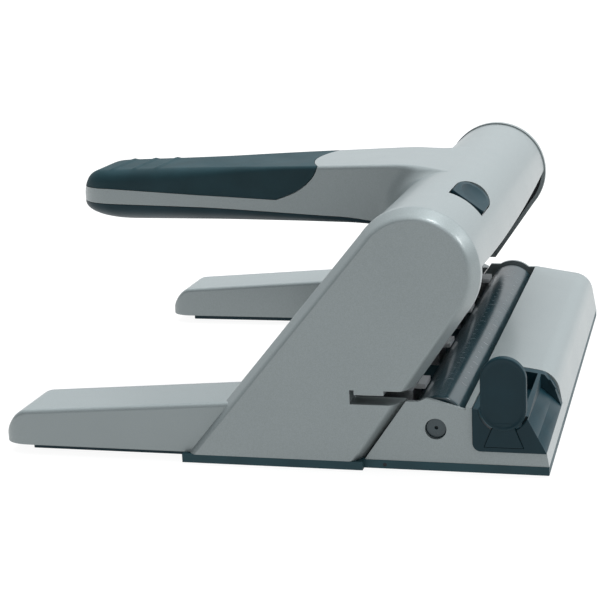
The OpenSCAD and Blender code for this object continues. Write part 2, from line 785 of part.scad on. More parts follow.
// Top line of the handle; it rises from the hood at a small angle and then falls to the tip
handle_slope = handle_fall / handle_reach;
function top_z(y) = pivot_z + handle_rise - y * handle_slope;
root_a = 4.4;
root_pt = [pivot_y - hood_r * sin(root_a), pivot_z + hood_r * cos(root_a)];
crest_y = (pivot_z + handle_rise - root_pt[1] + root_pt[0] * tan(root_a))
  / (tan(root_a) + handle_slope);
handle_low_z = pivot_z - handle_sink;
handle_max_z = top_z(crest_y);
tip_top_r = 17;
tip_low_l = 34;
tip_low_h = 11;
tip_plan_r = 24;
tip_n = 10;
taper_y0 = 20;
taper_y1 = 125;
// Half width of the handle at a place along it
function half_at(y) = y < taper_y0 ? handle_w / 2 : y > taper_y1 ? handle_tip_w / 2
  : handle_w / 2 - (handle_w - handle_tip_w) / 2 * (y - taper_y0) / (taper_y1 - taper_y0);
module handle_2d(inset) {
  y_top = handle_reach - tip_top_r;
  polygon(concat(
    [[root_pt[0], handle_low_z + inset]],
    [for (k = [0 : tip_n]) [handle_reach - tip_low_l + (tip_low_l - inset) * sin(90 * k / tip_n),
      handle_low_z + tip_low_h - (tip_low_h - inset) * cos(90 * k / tip_n)]],
    [for (k = [0 : tip_n]) [y_top + (tip_top_r - inset) * cos(90 * k / tip_n),
      top_z(y_top) - tip_top_r + (tip_top_r - inset) * sin(90 * k / tip_n)]],
    [[crest_y, handle_max_z - inset], [root_pt[0], root_pt[1] - inset]]));
}
module handle_plan(inset) {
  right = concat(
    [[handle_w / 2 - inset, root_pt[0] - over], [handle_w / 2 - inset, taper_y0],
      [handle_tip_w / 2 - inset, taper_y1]],
    [for (k = [0 : tip_n]) [handle_tip_w / 2 - tip_plan_r + (tip_plan_r - inset) * cos(90 * k / tip_n),
      handle_reach - tip_plan_r + (tip_plan_r - inset) * sin(90 * k / tip_n)]]);
  n = len(right);
  polygon(concat(right, [for (k = [1 : n]) [-right[n - k][0], right[n - k][1]]]));
}
// Grip and underside: their seams in side view, as shares of the reach and of the hood's radius
grip_shares = [[0.274, 1.057], [0.283, 0.899], [0.3, 0.754], [0.337, 0.565], [0.398, 0.407],
  [0.62, 0.47], [0.898, 0.59], [1.1, 0.6], [1.1, 1.5], [0.274, 1.5]];
band_shares = [[0.095, 0.019], [0.185, 0.104], [0.269, 0.132], [0.435, 0.186], [0.62, 0.24],
  [0.917, 0.303], [1.1, 0.31], [1.1, -0.7], [0.095, -0.7]];
function side_pt(s) = [handle_reach * s[0], pivot_z + hood_r * s[1]];
// Sections of the handle: straight sides, and below the underside's seam half an ellipse
belly_n = 16;
belly_drop = 0.5;
belly_in = 0.1;
belly_ys = [root_pt[0] - over, taper_y0, (taper_y0 + taper_y1) / 2, taper_y1,
  handle_reach - tip_low_l, handle_reach + over];
belly_line = [for (s = band_shares) if (s[1] > 0) side_pt(s)];
function belly_ring(y, inset) =
  let (w = half_at(y) - belly_in - inset, z = lookup(y, belly_line) - belly_drop,
    h = z - handle_low_z - belly_in - inset)
  concat([for (k = [0 : belly_n])
      [-w * cos(180 * k / belly_n), y, z - h * sin(180 * k / belly_n)]],
    [[w, y, handle_max_z + over], [-w, y, handle_max_z + over]]);
module belly_solid(inset) {
  n = belly_n + 3;
  last = len(belly_ys) - 1;
  polyhedron(points = [for (y = belly_ys) each belly_ring(y, inset)], faces = concat(
    [[for (k = [0 : n - 1]) n - 1 - k]], [[for (k = [0 : n - 1]) last * n + k]],
    [for (i = [0 : last - 1], k = [0 : n - 1]) each
      let (a = i * n + k, b = i * n + (k + 1) % n) [[a, b, b + n], [a, b + n, a + n]]]));
}
// The handle is its side view, its plan and its sections, met together
module handle_solid(inset) {
  intersection() {
    slab(-handle_w, handle_w) handle_2d(inset);
    translate([0, 0, handle_low_z - over])
      linear_extrude(height = handle_max_z - handle_low_z + 2 * over) handle_plan(inset);
    belly_solid(inset);
  }
}
grip_notch_r = 70;
grip_notch_y = 65;
module grip_region() {
  intersection() {
    slab(-handle_w, handle_w) polygon([for (s = grip_shares) side_pt(s)]);
    difference() {
      translate([-handle_w, 0, pivot_z]) cube([2 * handle_w, 2 * handle_reach, hood_r * 2]);
      translate([0, grip_notch_y - grip_notch_r, pivot_z])
        cylinder(r = grip_notch_r, h = 2 * hood_r, $fn = round_n);
    }
  }
}
module underside_region() {
  slab(-handle_w, handle_w) polygon([for (s = band_shares) side_pt(s)]);
}
module handle_shell() {
  difference() {
    handle_solid(0);
    handle_solid(skin);
  }
}
// Fillet between the hood and a side of the handle: a ring about the pivot
ring_drop = 1;
module blend_ring(side) {
  handed(side) intersection() {
    translate([0, pivot_y, pivot_z]) rotate([0, 90, 0]) rotate_extrude($fn = round_n)
      translate([hood_r - skin / 2, handle_w / 2 - skin / 2]) difference() {
        square([blend_r + skin / 2, blend_r + skin / 2]);
        translate([blend_r + skin / 2, blend_r + skin / 2]) circle(r = blend_r, $fn = round_n);
      }
    slab(0, hood_half_w) polygon([[pivot_y, pivot_z],
      [pivot_y + 2 * hood_r * cos(hood_back_angle), pivot_z + 2 * hood_r * sin(hood_back_angle)],
      [pivot_y + 2 * hood_r, top_z(pivot_y + 2 * hood_r) - ring_drop],
      [crest_y, handle_max_z - ring_drop], [root_pt[0], root_pt[1] - ring_drop]]);
  }
}
module lever_cover() {
  color(silver) difference() {
    union() {
      difference() {
        slab(-hood_half_w, hood_half_w) hood_2d();
        front_edge_cut();
      }
      difference() {
        for (side = [-1, 1]) blend_ring(side);
        underside_region();
      }
      difference() {
        handle_shell();
        rod_x(-handle_w, handle_w, pivot_y, pivot_z, hood_in_r);
        grip_region();
        underside_region();
      }
    }
    // The hood is open to the inside of the handle, where the arms come through
    half = handle_w / 2 - skin;
    translate([-half, pivot_y + hood_in_r / 2, pivot_z - hood_r])
      cube([2 * half, side_pt(band_shares[0])[0] + skin - pivot_y - hood_in_r / 2,
        hood_in_r + hood_r]);
    lock_pocket();
  }
}
// Ribs across the top of the grip: their places as shares of the reach
rib_shares = [0.755, 0.822, 0.887];
rib_r = 4;
rib_end = 8;
module handle_grip() {
  color(grip_tone) union() {
    intersection() {
      handle_shell();
      grip_region();
    }
    for (s = rib_shares) {
      y = handle_reach * s;
      intersection() {
        rod_x(-handle_tip_w / 2 + rib_end, handle_tip_w / 2 - rib_end, y, top_z(y) + rib_h - rib_r,
          rib_r);
        translate([-handle_w, y - rib_r, top_z(y) - skin / 2])
          cube([2 * handle_w, 2 * rib_r, skin]);
      }
    }
  }
}
skirt_r = 44;
skirt_t = 2;
skirt_sweep = 20;
module handle_underside() {
  color(petrol) difference() {
    union() {
      intersection() {
        handle_shell();
        underside_region();
      }
      slab(-handle_w / 2 + skin + seam, handle_w / 2 - skin - seam)
        translate([pivot_y, pivot_z]) difference() {
          circle(r = skirt_r, $fn = round_n);
          circle(r = skirt_r - skirt_t, $fn = round_n);
          translate([-2 * skirt_r, 0]) square([4 * skirt_r, 2 * skirt_r]);
          rotate(-skirt_sweep) translate([-2 * skirt_r, -2 * skirt_r])
            square([4 * skirt_r, 2 * skirt_r]);
        }
    }
    rod_x(-handle_w, handle_w, pivot_y, pivot_z, skirt_r - skirt_t);
  }
}

// Lever arms: steel plates on the shaft that reach into the handle
arm_side_gap = 1.5;
arm_x = handle_tip_w / 2 - skin - arm_t - arm_side_gap;
arm_hub_r = 15;
arm_half_h = 8;
arm_reach = 150;
arm_rise = 17;
bar_back_y = 14;
bar_front_y = -8;
bar_top_z = 95;
bar_end_gap = 7;
bar_half_l = ear_in - bar_end_gap;
module bar_2d() {
  intersection() {
    translate([pivot_y + cam_c[0], pivot_z + cam_c[1]]) circle(r = cam_r, $fn = round_n);
    translate([bar_front_y, bar_top_z - cam_r]) square([bar_back_y - bar_front_y, cam_r]);
  }
}
module lever_arm(side) {
  color(steel) handed(side) difference() {
    slab(arm_x, arm_x + arm_t) difference() {
      union() {
        translate([pivot_y, pivot_z]) circle(r = arm_hub_r, $fn = round_n);
        polygon([[pivot_y, pivot_z - arm_hub_r], [bar_front_y, bar_top_z - arm_half_h],
          [bar_back_y, bar_top_z - arm_half_h], [bar_back_y + skin, pivot_z + arm_half_h / 2],
          [arm_reach, pivot_z + arm_rise - arm_half_h], [arm_reach, pivot_z + arm_rise + arm_half_h],
          [pivot_y, pivot_z + arm_hub_r]]);
      }
      bar_2d();
    }
    rod_x(0, half_w, pivot_y, pivot_z, shaft_r + run_gap);
    for (p = spacer_places)
      rod_x(0, half_w, p[0], p[1], spacer_r * spacer_pin_share + seat_gap);
  }
}
module lever_arm_left() { lever_arm(-1); }
module lever_arm_right() { lever_arm(1); }
module presser_bar() {
  color(steel) slab(-bar_half_l, bar_half_l) bar_2d();
}
// Spacers between the arms, with a pin end in each plate
spacer_r = 5;
spacer_shares = [[0.284, 0.426], [0.64, 0.536]];
spacer_pin_share = 0.6;
spacer_places = [for (s = spacer_shares) side_pt(s)];
module arm_spacers() {
  color(steel) for (p = spacer_places) {
    rod_x(-arm_x, arm_x, p[0], p[1], spacer_r);
    w = half_at(p[0] + spacer_r) - skin - belly_in - seam;
    rod_x(-w, w, p[0], p[1], spacer_r * spacer_pin_share);
  }
}
// Hood ends: plastic discs that run on the shaft and carry the hood
end_t = 6;
end_hub_r = 15;
end_back_angle = -12;
end_front_angle = 172;
module hood_end(side) {
  color(petrol) handed(side) difference() {
    slab(hood_half_w - end_t, hood_half_w) {
      difference() {
        translate([pivot_y, pivot_z]) circle(r = hood_in_r, $fn = round_n);
        polygon([[pivot_y, pivot_z],
          [pivot_y + 2 * hood_r * cos(end_back_angle), pivot_z + 2 * hood_r * sin(end_back_angle)],
          [pivot_y + 2 * hood_r, pivot_z - 2 * hood_r], [pivot_y - 2 * hood_r, pivot_z - 2 * hood_r],
          [pivot_y + 2 * hood_r * cos(end_front_angle),
            pivot_z + 2 * hood_r * sin(end_front_angle)]]);
      }
      translate([pivot_y, pivot_z]) circle(r = end_hub_r, $fn = round_n);
    }
    rod_x(0, half_w, pivot_y, pivot_z, shaft_r + run_gap);
    if (side < 0) rod_x(-half_w, half_w, pivot_y + bolt_rel[0], pivot_z + bolt_rel[1],
      bolt_r + run_gap);
  }
}
module hood_end_left() { hood_end(-1); }
module hood_end_right() { hood_end(1); }
// Torsion springs around the shaft, beside the arms
coil_l = 34;
coil_wall = 2.4;
coil_gap = 1;
module return_springs() {
  color(steel) for (side = [-1, 1]) handed(side) difference() {
    rod_x(arm_x + arm_t, arm_x + arm_t + coil_l, pivot_y, pivot_z, shaft_r + coil_gap + coil_wall);
    rod_x(0, half_w, pivot_y, pivot_z, shaft_r + coil_gap);
  }
}

// Lever lock: a D-shaped slider in a pocket of the hood, with a bolt to the left upright
lock_angle = 126;
lock_arc_w = 21;
pocket_x = -105;
lock_end_x = -62;
lock_back_gap = 2;
lock_x = pocket_x + lock_travel + lock_back_gap;
lock_floor_r = 19.5;
lock_flange = 2;
bolt_axis_r = 23.5;
bolt_rel = [bolt_axis_r * cos(lock_angle), bolt_axis_r * sin(lock_angle)];
bolt_tip_in = 1.4;
bolt_grip_l = 14;
bolt_tip_x = -ear_in + bolt_tip_in;
bolt_back_x = lock_x + bolt_grip_l;
scoop_r = 23;
scoop_depth = 2.5;
// D outline from above the slider, x along the body and the straight end at x0
module d_outline(x0, w) {
  r = w / 2;
  mid = lock_end_x - lock_arc_w / 2;
  translate([x0, -r]) square([mid - x0, w]);
  translate([mid, 0]) circle(r = r, $fn = round_n);
}
// Raises a D outline through the hood's skin, square to the skin at the lock's angle
module lock_prism(x0, w, r0, r1) {
  translate([0, pivot_y, pivot_z]) rotate([lock_angle - 90, 0, 0])
    translate([0, 0, r0]) linear_extrude(height = r1 - r0) d_outline(x0, w);
}
module lock_pocket() {
  lock_prism(pocket_x, lock_arc_w, hood_in_r - 2 * skin, hood_r + 2 * skin);
}
module lock_slider() {
  color(petrol) difference() {
    union() {
      intersection() {
        lock_prism(lock_x, lock_arc_w - 2 * body_gap, lock_floor_r, hood_r);
        rod_x(-half_w, 0, pivot_y, pivot_z, hood_r - seam);
      }
      // Flange that keeps the slider from falling out of the hood
      intersection() {
        lock_prism(lock_x + lock_flange, lock_arc_w + 2 * lock_flange, lock_floor_r, hood_r);
        rod_x(-half_w, 0, pivot_y, pivot_z, hood_in_r - body_gap);
      }
    }
    // Finger scoop
    translate([0, pivot_y, pivot_z]) rotate([lock_angle - 90, 0, 0])
      translate([(lock_x + lock_end_x) / 2 + skin, 0, hood_r + scoop_r - scoop_depth])
        sphere(r = scoop_r, $fn = round_n);
    rod_x(-half_w, bolt_back_x + over, pivot_y + bolt_rel[0], pivot_z + bolt_rel[1],
      bolt_r + seat_gap);
  }
}
module lock_bolt() {
  color(steel) rod_x(bolt_tip_x, bolt_back_x, pivot_y + bolt_rel[0], pivot_z + bolt_rel[1],
    bolt_r);
}

// Paper guide: housing, stop tab and rail, drawn out to the left
guide_proud = 2.2;
guide_face_x = -end_x - guide_proud;
guide_rail_z = 17.6;
guide_rail_w = 14;
guide_rail_h = 5;
guide_rail_end_x = 110;
guide_fit = 0.4;
tab_y = -64.8;
tab_z = 43.5;
well_back_y = -51;
well_front_y = -73;
well_floor_z = 21.5;
well_wall_0 = 2;
well_wall_1 = 7;
well_x0 = guide_face_x + tab_t + well_wall_0;
well_x1 = guide_end_x - well_wall_1;
tab_gap = 1.5;
module cap_2d() {
  intersection() {
    table_2d(0);
    cap_space_2d(-guide_fit);
  }
}
module guide_cap() {
  color(petrol) difference() {
    slab(guide_face_x, guide_end_x - guide_fit) cap_2d();
    translate([well_x0, well_front_y, well_floor_z])
      cube([well_x1 - well_x0, well_back_y - well_front_y, lip_z]);
    slab(guide_face_x - over, well_x0 + over) tab_outline(tab_gap, 0);
    slab(guide_face_x - over, guide_face_x + tab_t) foot_outline(seam);
    translate([well_x0, guide_rail_y - guide_rail_w / 2, guide_rail_z - guide_rail_h / 2])
      cube([guide_l + over, guide_rail_w, guide_rail_h]);
  }
}
// Oval of the stop tab, grown by g, its lower end lengthened by low
module tab_outline(g, low) {
  for (dz = [-tab_straight / 2 - low, tab_straight / 2])
    translate([tab_y, tab_z + dz]) circle(r = tab_r + g, $fn = round_n);
  translate([tab_y - tab_r - g, tab_z - tab_straight / 2])
    square([2 * (tab_r + g), tab_straight]);
}
// Flared foot of the stop tab
foot_low_z = 14.6;
foot_high_z = 26;
foot_low_w = 18.4;
foot_high_w = 9;
module foot_outline(g) {
  polygon([[tab_y - foot_low_w / 2 - g, foot_low_z - g], [tab_y + foot_low_w / 2 + g, foot_low_z - g],
    [tab_y + foot_high_w / 2 + g, foot_high_z], [tab_y - foot_high_w / 2 - g, foot_high_z]]);
}
tab_proud = 1.2;
tab_dish = 0.75;
module guide_tab() {
  color(petrol) difference() {
    slab(guide_face_x - tab_proud, guide_face_x + tab_t) {
      tab_outline(0, 0);
      foot_outline(0);
    }
    slab(guide_face_x - tab_proud - over, guide_face_x - tab_proud + tab_dish)
      tab_outline(-tab_gap, 0);
    for (p = guide_screw_places)
      rod_x(guide_face_x, guide_face_x + tab_t + over, tab_y, p, screw_r + seat_gap);
  }
}
guide_screw_rise = 3.2;
guide_screw_places = [foot_low_z + guide_screw_rise];
module guide_screws() {
  color(steel) for (p = guide_screw_places)
    rod_x(guide_face_x + tab_t / 2, guide_face_x + tab_t, tab_y, p, screw_r);
}
module guide_rail() {
  color(steel) translate([well_x0, guide_rail_y - guide_rail_w / 2,
    guide_rail_z - guide_rail_h / 2])
    cube([guide_rail_end_x - well_x0, guide_rail_w, guide_rail_h]);
}
module guide_channel() {
  w = guide_rail_w + 2 * (guide_fit + channel_wall);
  h = guide_rail_h + 2 * (guide_fit + channel_wall);
  color(petrol) difference() {
    union() {
      translate([channel_x0, guide_rail_y - w / 2, guide_rail_z - h / 2])
        cube([channel_x1 - channel_x0, w, h]);
      for (x = [channel_x0, channel_x1 - channel_foot_l])
        translate([x, guide_rail_y - w / 2, sole_lift + pan_floor_t])
          cube([channel_foot_l, w, guide_rail_z - h / 2 - sole_lift - pan_floor_t]);
    }
    for (p = base_screw_places) translate([p[0], p[1], 0])
      cylinder(r = screw_r + seat_gap, h = strip_h + beam_t, $fn = round_n);
    translate([channel_x0 - over, guide_rail_y - guide_rail_w / 2 - guide_fit,
      guide_rail_z - guide_rail_h / 2 - guide_fit])
      cube([channel_x1 - channel_x0 + 2 * over, guide_rail_w + 2 * guide_fit,
        guide_rail_h + 2 * guide_fit]);
  }
}

base_pan();
leg_sole_left();
leg_sole_right();
foot_pads();
left_side_cover();
right_side_cover();
paper_table();
rear_cover();
left_upright();
right_upright();
rear_beam();
head_rods();
pivot_shaft();
shaft_clips();
cover_screws();
base_screws();
guide_channel();
flap_wire();
lever_cover();
handle_grip();
handle_underside();
lever_arm_left();
lever_arm_right();
hood_end_left();
hood_end_right();
presser_bar();
arm_spacers();
return_springs();
lock_slider();
lock_bolt();
scale_drum();
guide_cap();
guide_tab();
guide_rail();
guide_screws();
chip_flap();
for (i = [1 : head_n]) {
  head_frame(i);
  die_plate(i);
  pin_spring(i);
  punch_pin(i);
  pin_cap(i);
}
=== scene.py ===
"""The looks of a four-hole punch: camera, materials, finer pieces for CAD nodes, studio."""

import json
import math

import bmesh
import bpy
from mathutils import Matrix, Vector


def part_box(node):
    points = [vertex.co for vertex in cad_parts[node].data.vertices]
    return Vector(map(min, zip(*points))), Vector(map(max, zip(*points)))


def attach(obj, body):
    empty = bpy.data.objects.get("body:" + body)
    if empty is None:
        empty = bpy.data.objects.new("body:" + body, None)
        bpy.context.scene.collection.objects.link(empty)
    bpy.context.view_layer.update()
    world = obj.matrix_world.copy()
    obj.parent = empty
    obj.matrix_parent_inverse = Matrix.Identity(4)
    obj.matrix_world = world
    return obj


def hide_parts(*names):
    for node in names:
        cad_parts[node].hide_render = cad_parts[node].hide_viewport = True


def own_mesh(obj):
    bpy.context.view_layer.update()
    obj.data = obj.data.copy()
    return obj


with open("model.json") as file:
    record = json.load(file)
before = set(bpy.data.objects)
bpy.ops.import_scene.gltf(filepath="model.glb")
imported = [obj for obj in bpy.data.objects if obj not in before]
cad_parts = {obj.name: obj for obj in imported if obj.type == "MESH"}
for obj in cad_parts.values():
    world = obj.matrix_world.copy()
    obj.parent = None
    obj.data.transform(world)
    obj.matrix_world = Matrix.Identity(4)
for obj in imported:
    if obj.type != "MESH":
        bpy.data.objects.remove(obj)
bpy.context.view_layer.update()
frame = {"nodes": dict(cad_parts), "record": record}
NODES = frame["nodes"]
MM = 0.001
SLOT = {s["node"]: s["material_slot"] for s in frame["record"]["subparts"]}
BODY = {n: b for b, ns in frame["record"]["behaviour"]["bodies"].items() for n in ns}

# Camera, fitted to the outlines of the object
EYE = Vector((-0.9012, -0.1602, 0.2718))
YAW, PITCH, ROLL = (math.radians(a) for a in (14.905, 13.537, -2.482))
FOCAL_SHARE = 1589.79 / 600
SENSOR = 36.0
CLIP_START = 0.01


def make_camera():
    data = bpy.data.cameras.new("photo_camera")
    data.sensor_width = SENSOR
    data.sensor_fit = "HORIZONTAL"
    data.lens = SENSOR * FOCAL_SHARE
    data.clip_start = CLIP_START
    cam = bpy.data.objects.new("photo_camera", data)
    bpy.context.scene.collection.objects.link(cam)
    ahead = Vector(
        (math.cos(PITCH) * math.cos(YAW), math.cos(PITCH) * math.sin(YAW), -math.sin(PITCH))
    )
    level = ahead.cross(Vector((0, 0, 1))).normalized()
    upright = level.cross(ahead)
    right = level * math.cos(ROLL) + upright * math.sin(ROLL)
    up = upright * math.cos(ROLL) - level * math.sin(ROLL)
    m = Matrix((right, up, -ahead)).transposed().to_4x4()
    m.translation = EYE
    cam.matrix_world = m
    bpy.context.scene.camera = cam


make_camera()


# Materials
def new_material(name, colour, metallic, rough):
    m = bpy.data.materials.new(name)
    m.use_nodes = True
    shader = m.node_tree.nodes["Principled BSDF"]
    shader.inputs["Base Color"].default_value = (*colour, 1)
    shader.inputs["Metallic"].default_value = metallic
    shader.inputs["Roughness"].default_value = rough
    return m, m.node_tree, shader


def noise(tree, scale, detail=2.0, stretch=None):
    tex = tree.nodes.new("ShaderNodeTexNoise")
    tex.inputs["Scale"].default_value = scale
    tex.inputs["Detail"].default_value = detail
    source = tree.nodes.new("ShaderNodeTexCoord").outputs["Object"]
    if stretch:
        mapping = tree.nodes.new("ShaderNodeMapping")
        mapping.inputs["Scale"].default_value = stretch
        tree.links.new(source, mapping.inputs["Vector"])
        source = mapping.outputs["Vector"]
    tree.links.new(source, tex.inputs["Vector"])
    return tex.outputs["Fac"]


def vary_roughness(tree, shader, fac, low, high):
    r = tree.nodes.new("ShaderNodeMapRange")
    r.inputs["From Min"].default_value = 0.3
    r.inputs["From Max"].default_value = 0.7
    r.inputs["To Min"].default_value = low
    r.inputs["To Max"].default_value = high
    tree.links.new(fac, r.inputs["Value"])
    tree.links.new(r.outputs["Result"], shader.inputs["Roughness"])


def tint(tree, shader, fac, colour, dark, light, start=0.3):
    """Varies a colour between two shares of itself, about the middle of a noise."""
    ramp = tree.nodes.new("ShaderNodeValToRGB")
    ends = ramp.color_ramp.elements
    ends[0].position = start
    ends[1].position = 1 - start
    for end, share in zip(ends, (dark, light)):
        end.color = (*(min(1.0, c * share) for c in colour), 1)
    tree.links.new(fac, ramp.inputs["Fac"])
    tree.links.new(ramp.outputs["Color"], shader.inputs["Base Color"])


def bump(tree, shader, fac, strength, distance):
    b = tree.nodes.new("ShaderNodeBump")
    b.inputs["Strength"].default_value = strength
    b.inputs["Distance"].default_value = distance
    tree.links.new(fac, b.inputs["Height"])
    tree.links.new(b.outputs["Normal"], shader.inputs["Normal"])


def silver_paint():
    m, tree, shader = new_material("silver_lacquer", SILVER, metallic=0.45, rough=0.44)
    shader.inputs["Coat Weight"].default_value = 0.35
    shader.inputs["Coat Roughness"].default_value = 0.16
    flakes = noise(tree, scale=2600, detail=1.0)
    tint(tree, shader, flakes, SILVER, dark=0.93, light=1.07, start=0.35)
    vary_roughness(tree, shader, noise(tree, scale=22, detail=3.0), low=0.43, high=0.49)
    bump(tree, shader, noise(tree, scale=1500), strength=0.05, distance=0.00008)
    return m


def plastic(name, colour, rough, grain, depth, specular=0.5):
    m, tree, shader = new_material(name, colour, metallic=0.0, rough=rough)
    shader.inputs["Specular IOR Level"].default_value = specular
    tint(tree, shader, noise(tree, scale=60, detail=4.0), colour, dark=0.88, light=1.12)
    patches = noise(tree, scale=35, detail=3.0)
    vary_roughness(tree, shader, patches, low=rough - 0.04, high=rough + 0.05)
    bump(tree, shader, noise(tree, scale=grain, detail=3.0), strength=0.25, distance=depth)
    return m


def metal(name, colour, rough, stretch):
    m, tree, shader = new_material(name, colour, metallic=1.0, rough=rough)
    brushed = noise(tree, scale=900, detail=3.0, stretch=stretch)
    vary_roughness(tree, shader, brushed, low=rough - 0.07, high=rough + 0.09)
    tint(tree, shader, noise(tree, scale=40, detail=3.0), colour, dark=0.93, light=1.05)
    bump(tree, shader, brushed, strength=0.08, distance=0.00005)
    return m


SILVER = (0.212, 0.245, 0.250)
PETROL = (0.003, 0.020, 0.028)
GRIP = (0.007, 0.027, 0.034)
RUBBER = (0.012, 0.012, 0.013)
PAN = (0.014, 0.042, 0.052)
DRUM = (0.012, 0.032, 0.040)
INK = (0.16, 0.18, 0.19)
STEEL = (0.72, 0.73, 0.75)
PLATED = (0.52, 0.54, 0.56)
ZINC = (0.93, 0.95, 0.97)
# Dark steel; on the uprights it also stands in for painted shade on the cheeks' inner faces
DARK_STEEL_AND_SHADE_COLOUR = (0.035, 0.038, 0.042)
FINE_LINES, LONG_LINES = (1, 12, 12), (1, 1, 8)

MATERIALS = {
    "silver_cover": silver_paint(),
    "dark_shell": plastic(
        "dark_petrol_plastic", PETROL, rough=0.48, grain=1400, depth=0.00006, specular=0.2
    ),
    "grip_skin": plastic(
        "soft_touch_grip", GRIP, rough=0.6, grain=2000, depth=0.00008, specular=0.2
    ),
    "pad_rubber": plastic("black_rubber", RUBBER, rough=0.7, grain=900, depth=0.0001),
    "bright_steel": metal("bright_steel", STEEL, rough=0.24, stretch=FINE_LINES),
    "frame_steel": metal("plated_steel", PLATED, rough=0.32, stretch=LONG_LINES),
}
PLATE_ZINC = metal("bright_zinc", ZINC, rough=0.42, stretch=FINE_LINES)
# Dark steel, which on the uprights is painted shade
DARK_STEEL_AND_SHADE = metal("dark_steel_and_painted_shade", DARK_STEEL_AND_SHADE_COLOUR, rough=0.5, stretch=LONG_LINES)
PAN_PLASTIC = plastic(
    "pan_plastic", PAN, rough=0.5, grain=1400, depth=0.00006, specular=0.2
)
DRUM_GLOSS = plastic(
    "drum_gloss", DRUM, rough=0.24, grain=1800, depth=0.00002, specular=0.6
)
PRINT = plastic("scale_print", INK, rough=0.4, grain=1800, depth=0.00002)

# Mesh helpers; every length below is in millimetres, in the CAD's frame
OVER = 1.0
BEVEL_STEPS, EDGE_ANGLE = 3, 32
CAD_WELD, CAD_FLAT = 0.002, math.radians(0.3)


def new_object(name, bm, material=None, angle=35):
    mesh = bpy.data.meshes.new(name)
    bm.to_mesh(mesh)
    bm.free()
    obj = bpy.data.objects.new(name, mesh)
    bpy.context.scene.collection.objects.link(obj)
    if material:
        mesh.materials.append(material)
    smooth(obj, angle)
    return obj


def smooth(obj, angle):
    for p in obj.data.polygons:
        p.use_smooth = True
    obj.data.set_sharp_from_angle(angle=math.radians(angle))


def apply_all(obj):
    bpy.context.view_layer.update()
    graph = bpy.context.evaluated_depsgraph_get()
    mesh = bpy.data.meshes.new_from_object(obj.evaluated_get(graph))
    old = obj.data
    obj.modifiers.clear()
    obj.data = mesh
    bpy.data.meshes.remove(old)


def discard(obj):
    mesh = obj.data
    bpy.data.objects.remove(obj)
    bpy.data.meshes.remove(mesh)


def take_mesh(obj):
    """The mesh of an object that is no longer needed itself."""
    bm = bmesh.new()
    bm.from_mesh(obj.data)
    discard(obj)
    return bm


def cad_copy(node):
    """A copy of a CAD node's mesh, with its flat faces joined again."""
    bm = bmesh.new()
    bm.from_mesh(NODES[node].data)
    bmesh.ops.remove_doubles(bm, verts=bm.verts, dist=CAD_WELD * MM)
    bmesh.ops.dissolve_limit(
        bm, angle_limit=CAD_FLAT, verts=bm.verts, edges=bm.edges, delimit={"NORMAL"}
    )
    return bm


def loft(rings):
    """A closed skin through rings that have the same number of points."""
    bm = bmesh.new()
    rows = [[bm.verts.new(Vector(p) * MM) for p in ring] for ring in rings]
    n = len(rows[0])
    for a, b in zip(rows, rows[1:]):
        for k in range(n):
            bm.faces.new((a[k], a[(k + 1) % n], b[(k + 1) % n], b[k]))
    bm.faces.new(rows[0][::-1])
    bm.faces.new(rows[-1])
    bmesh.ops.recalc_face_normals(bm, faces=bm.faces)
    return bm


def along_x(points, x):
    return [(x, y, z) for y, z in points]


def slab(points, x0, x1):
    """An outline of (y, z) points, extruded along X."""
    return loft([along_x(points, x) for x in (x0, x1)])


def arc(y, z, r, start, sweep, n):
    """Points on a circle, from the angle start through sweep, both in radians."""
    angles = [start + sweep * k / n for k in range(n + 1)]
    return [(y + r * math.cos(a), z + r * math.sin(a)) for a in angles]


def circle(y, z, r, n):
    return arc(y, z, r, 0, 2 * math.pi, n)[:-1]


def clamp(t):
    return max(0.0, min(1.0, t))


def ease(t):
    t = clamp(t)
    return t * t * (3 - 2 * t)


def quarter_drop(t):
    """How far a quarter circle of radius 1 has fallen at t, from 0 to 1."""
    return 1 - math.sqrt(1 - t * t)


def lookup(table, at):
    if at <= table[0][0]:
        return table[0][1]
    for (a, va), (b, vb) in zip(table, table[1:]):
        if at <= b:
            return va + (vb - va) * (at - a) / (b - a)
    return table[-1][1]


def curve_through(points, n=6):
    """A smooth line through points, by cubic pieces."""
    out = []
    for i in range(len(points) - 1):
        p0, p1 = points[max(0, i - 1)], points[i]
        p2, p3 = points[i + 1], points[min(len(points) - 1, i + 2)]
        for k in range(n):
            t = k / n
            out.append(tuple(
                0.5 * (2 * b + (c - a) * t + (2 * a - 5 * b + 4 * c - d) * t * t
                       + (3 * b - a - 3 * c + d) * t**3)
                for a, b, c, d in zip(p0, p1, p2, p3)
            ))
    return out + [points[-1]]


def combine(obj, bm, operation):
    tool = new_object("tool", bm)
    mod = obj.modifiers.new("cut", "BOOLEAN")
    mod.operation = operation
    mod.solver = "EXACT"
    mod.object = tool
    apply_all(obj)
    discard(tool)


def mirror_x(bm):
    for v in bm.verts:
        v.co.x = -v.co.x
    bmesh.ops.reverse_faces(bm, faces=bm.faces)
    return bm


def add_bevel(obj, width):
    mod = obj.modifiers.new("edges", "BEVEL")
    mod.width = width * MM
    mod.segments = BEVEL_STEPS
    mod.limit_method = "ANGLE"
    mod.angle_limit = math.radians(EDGE_ANGLE)
    mod.use_clamp_overlap = True
    mod.miter_outer = "MITER_ARC"


def round_edges(obj, width):
    add_bevel(obj, width)
    apply_all(obj)


def weigh_normals(obj, weight=50):
    mod = obj.modifiers.new("normals", "WEIGHTED_NORMAL")
    mod.keep_sharp = True
    mod.weight = weight


def stand_for(obj, node):
    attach(obj, BODY[node])
    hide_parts(node)


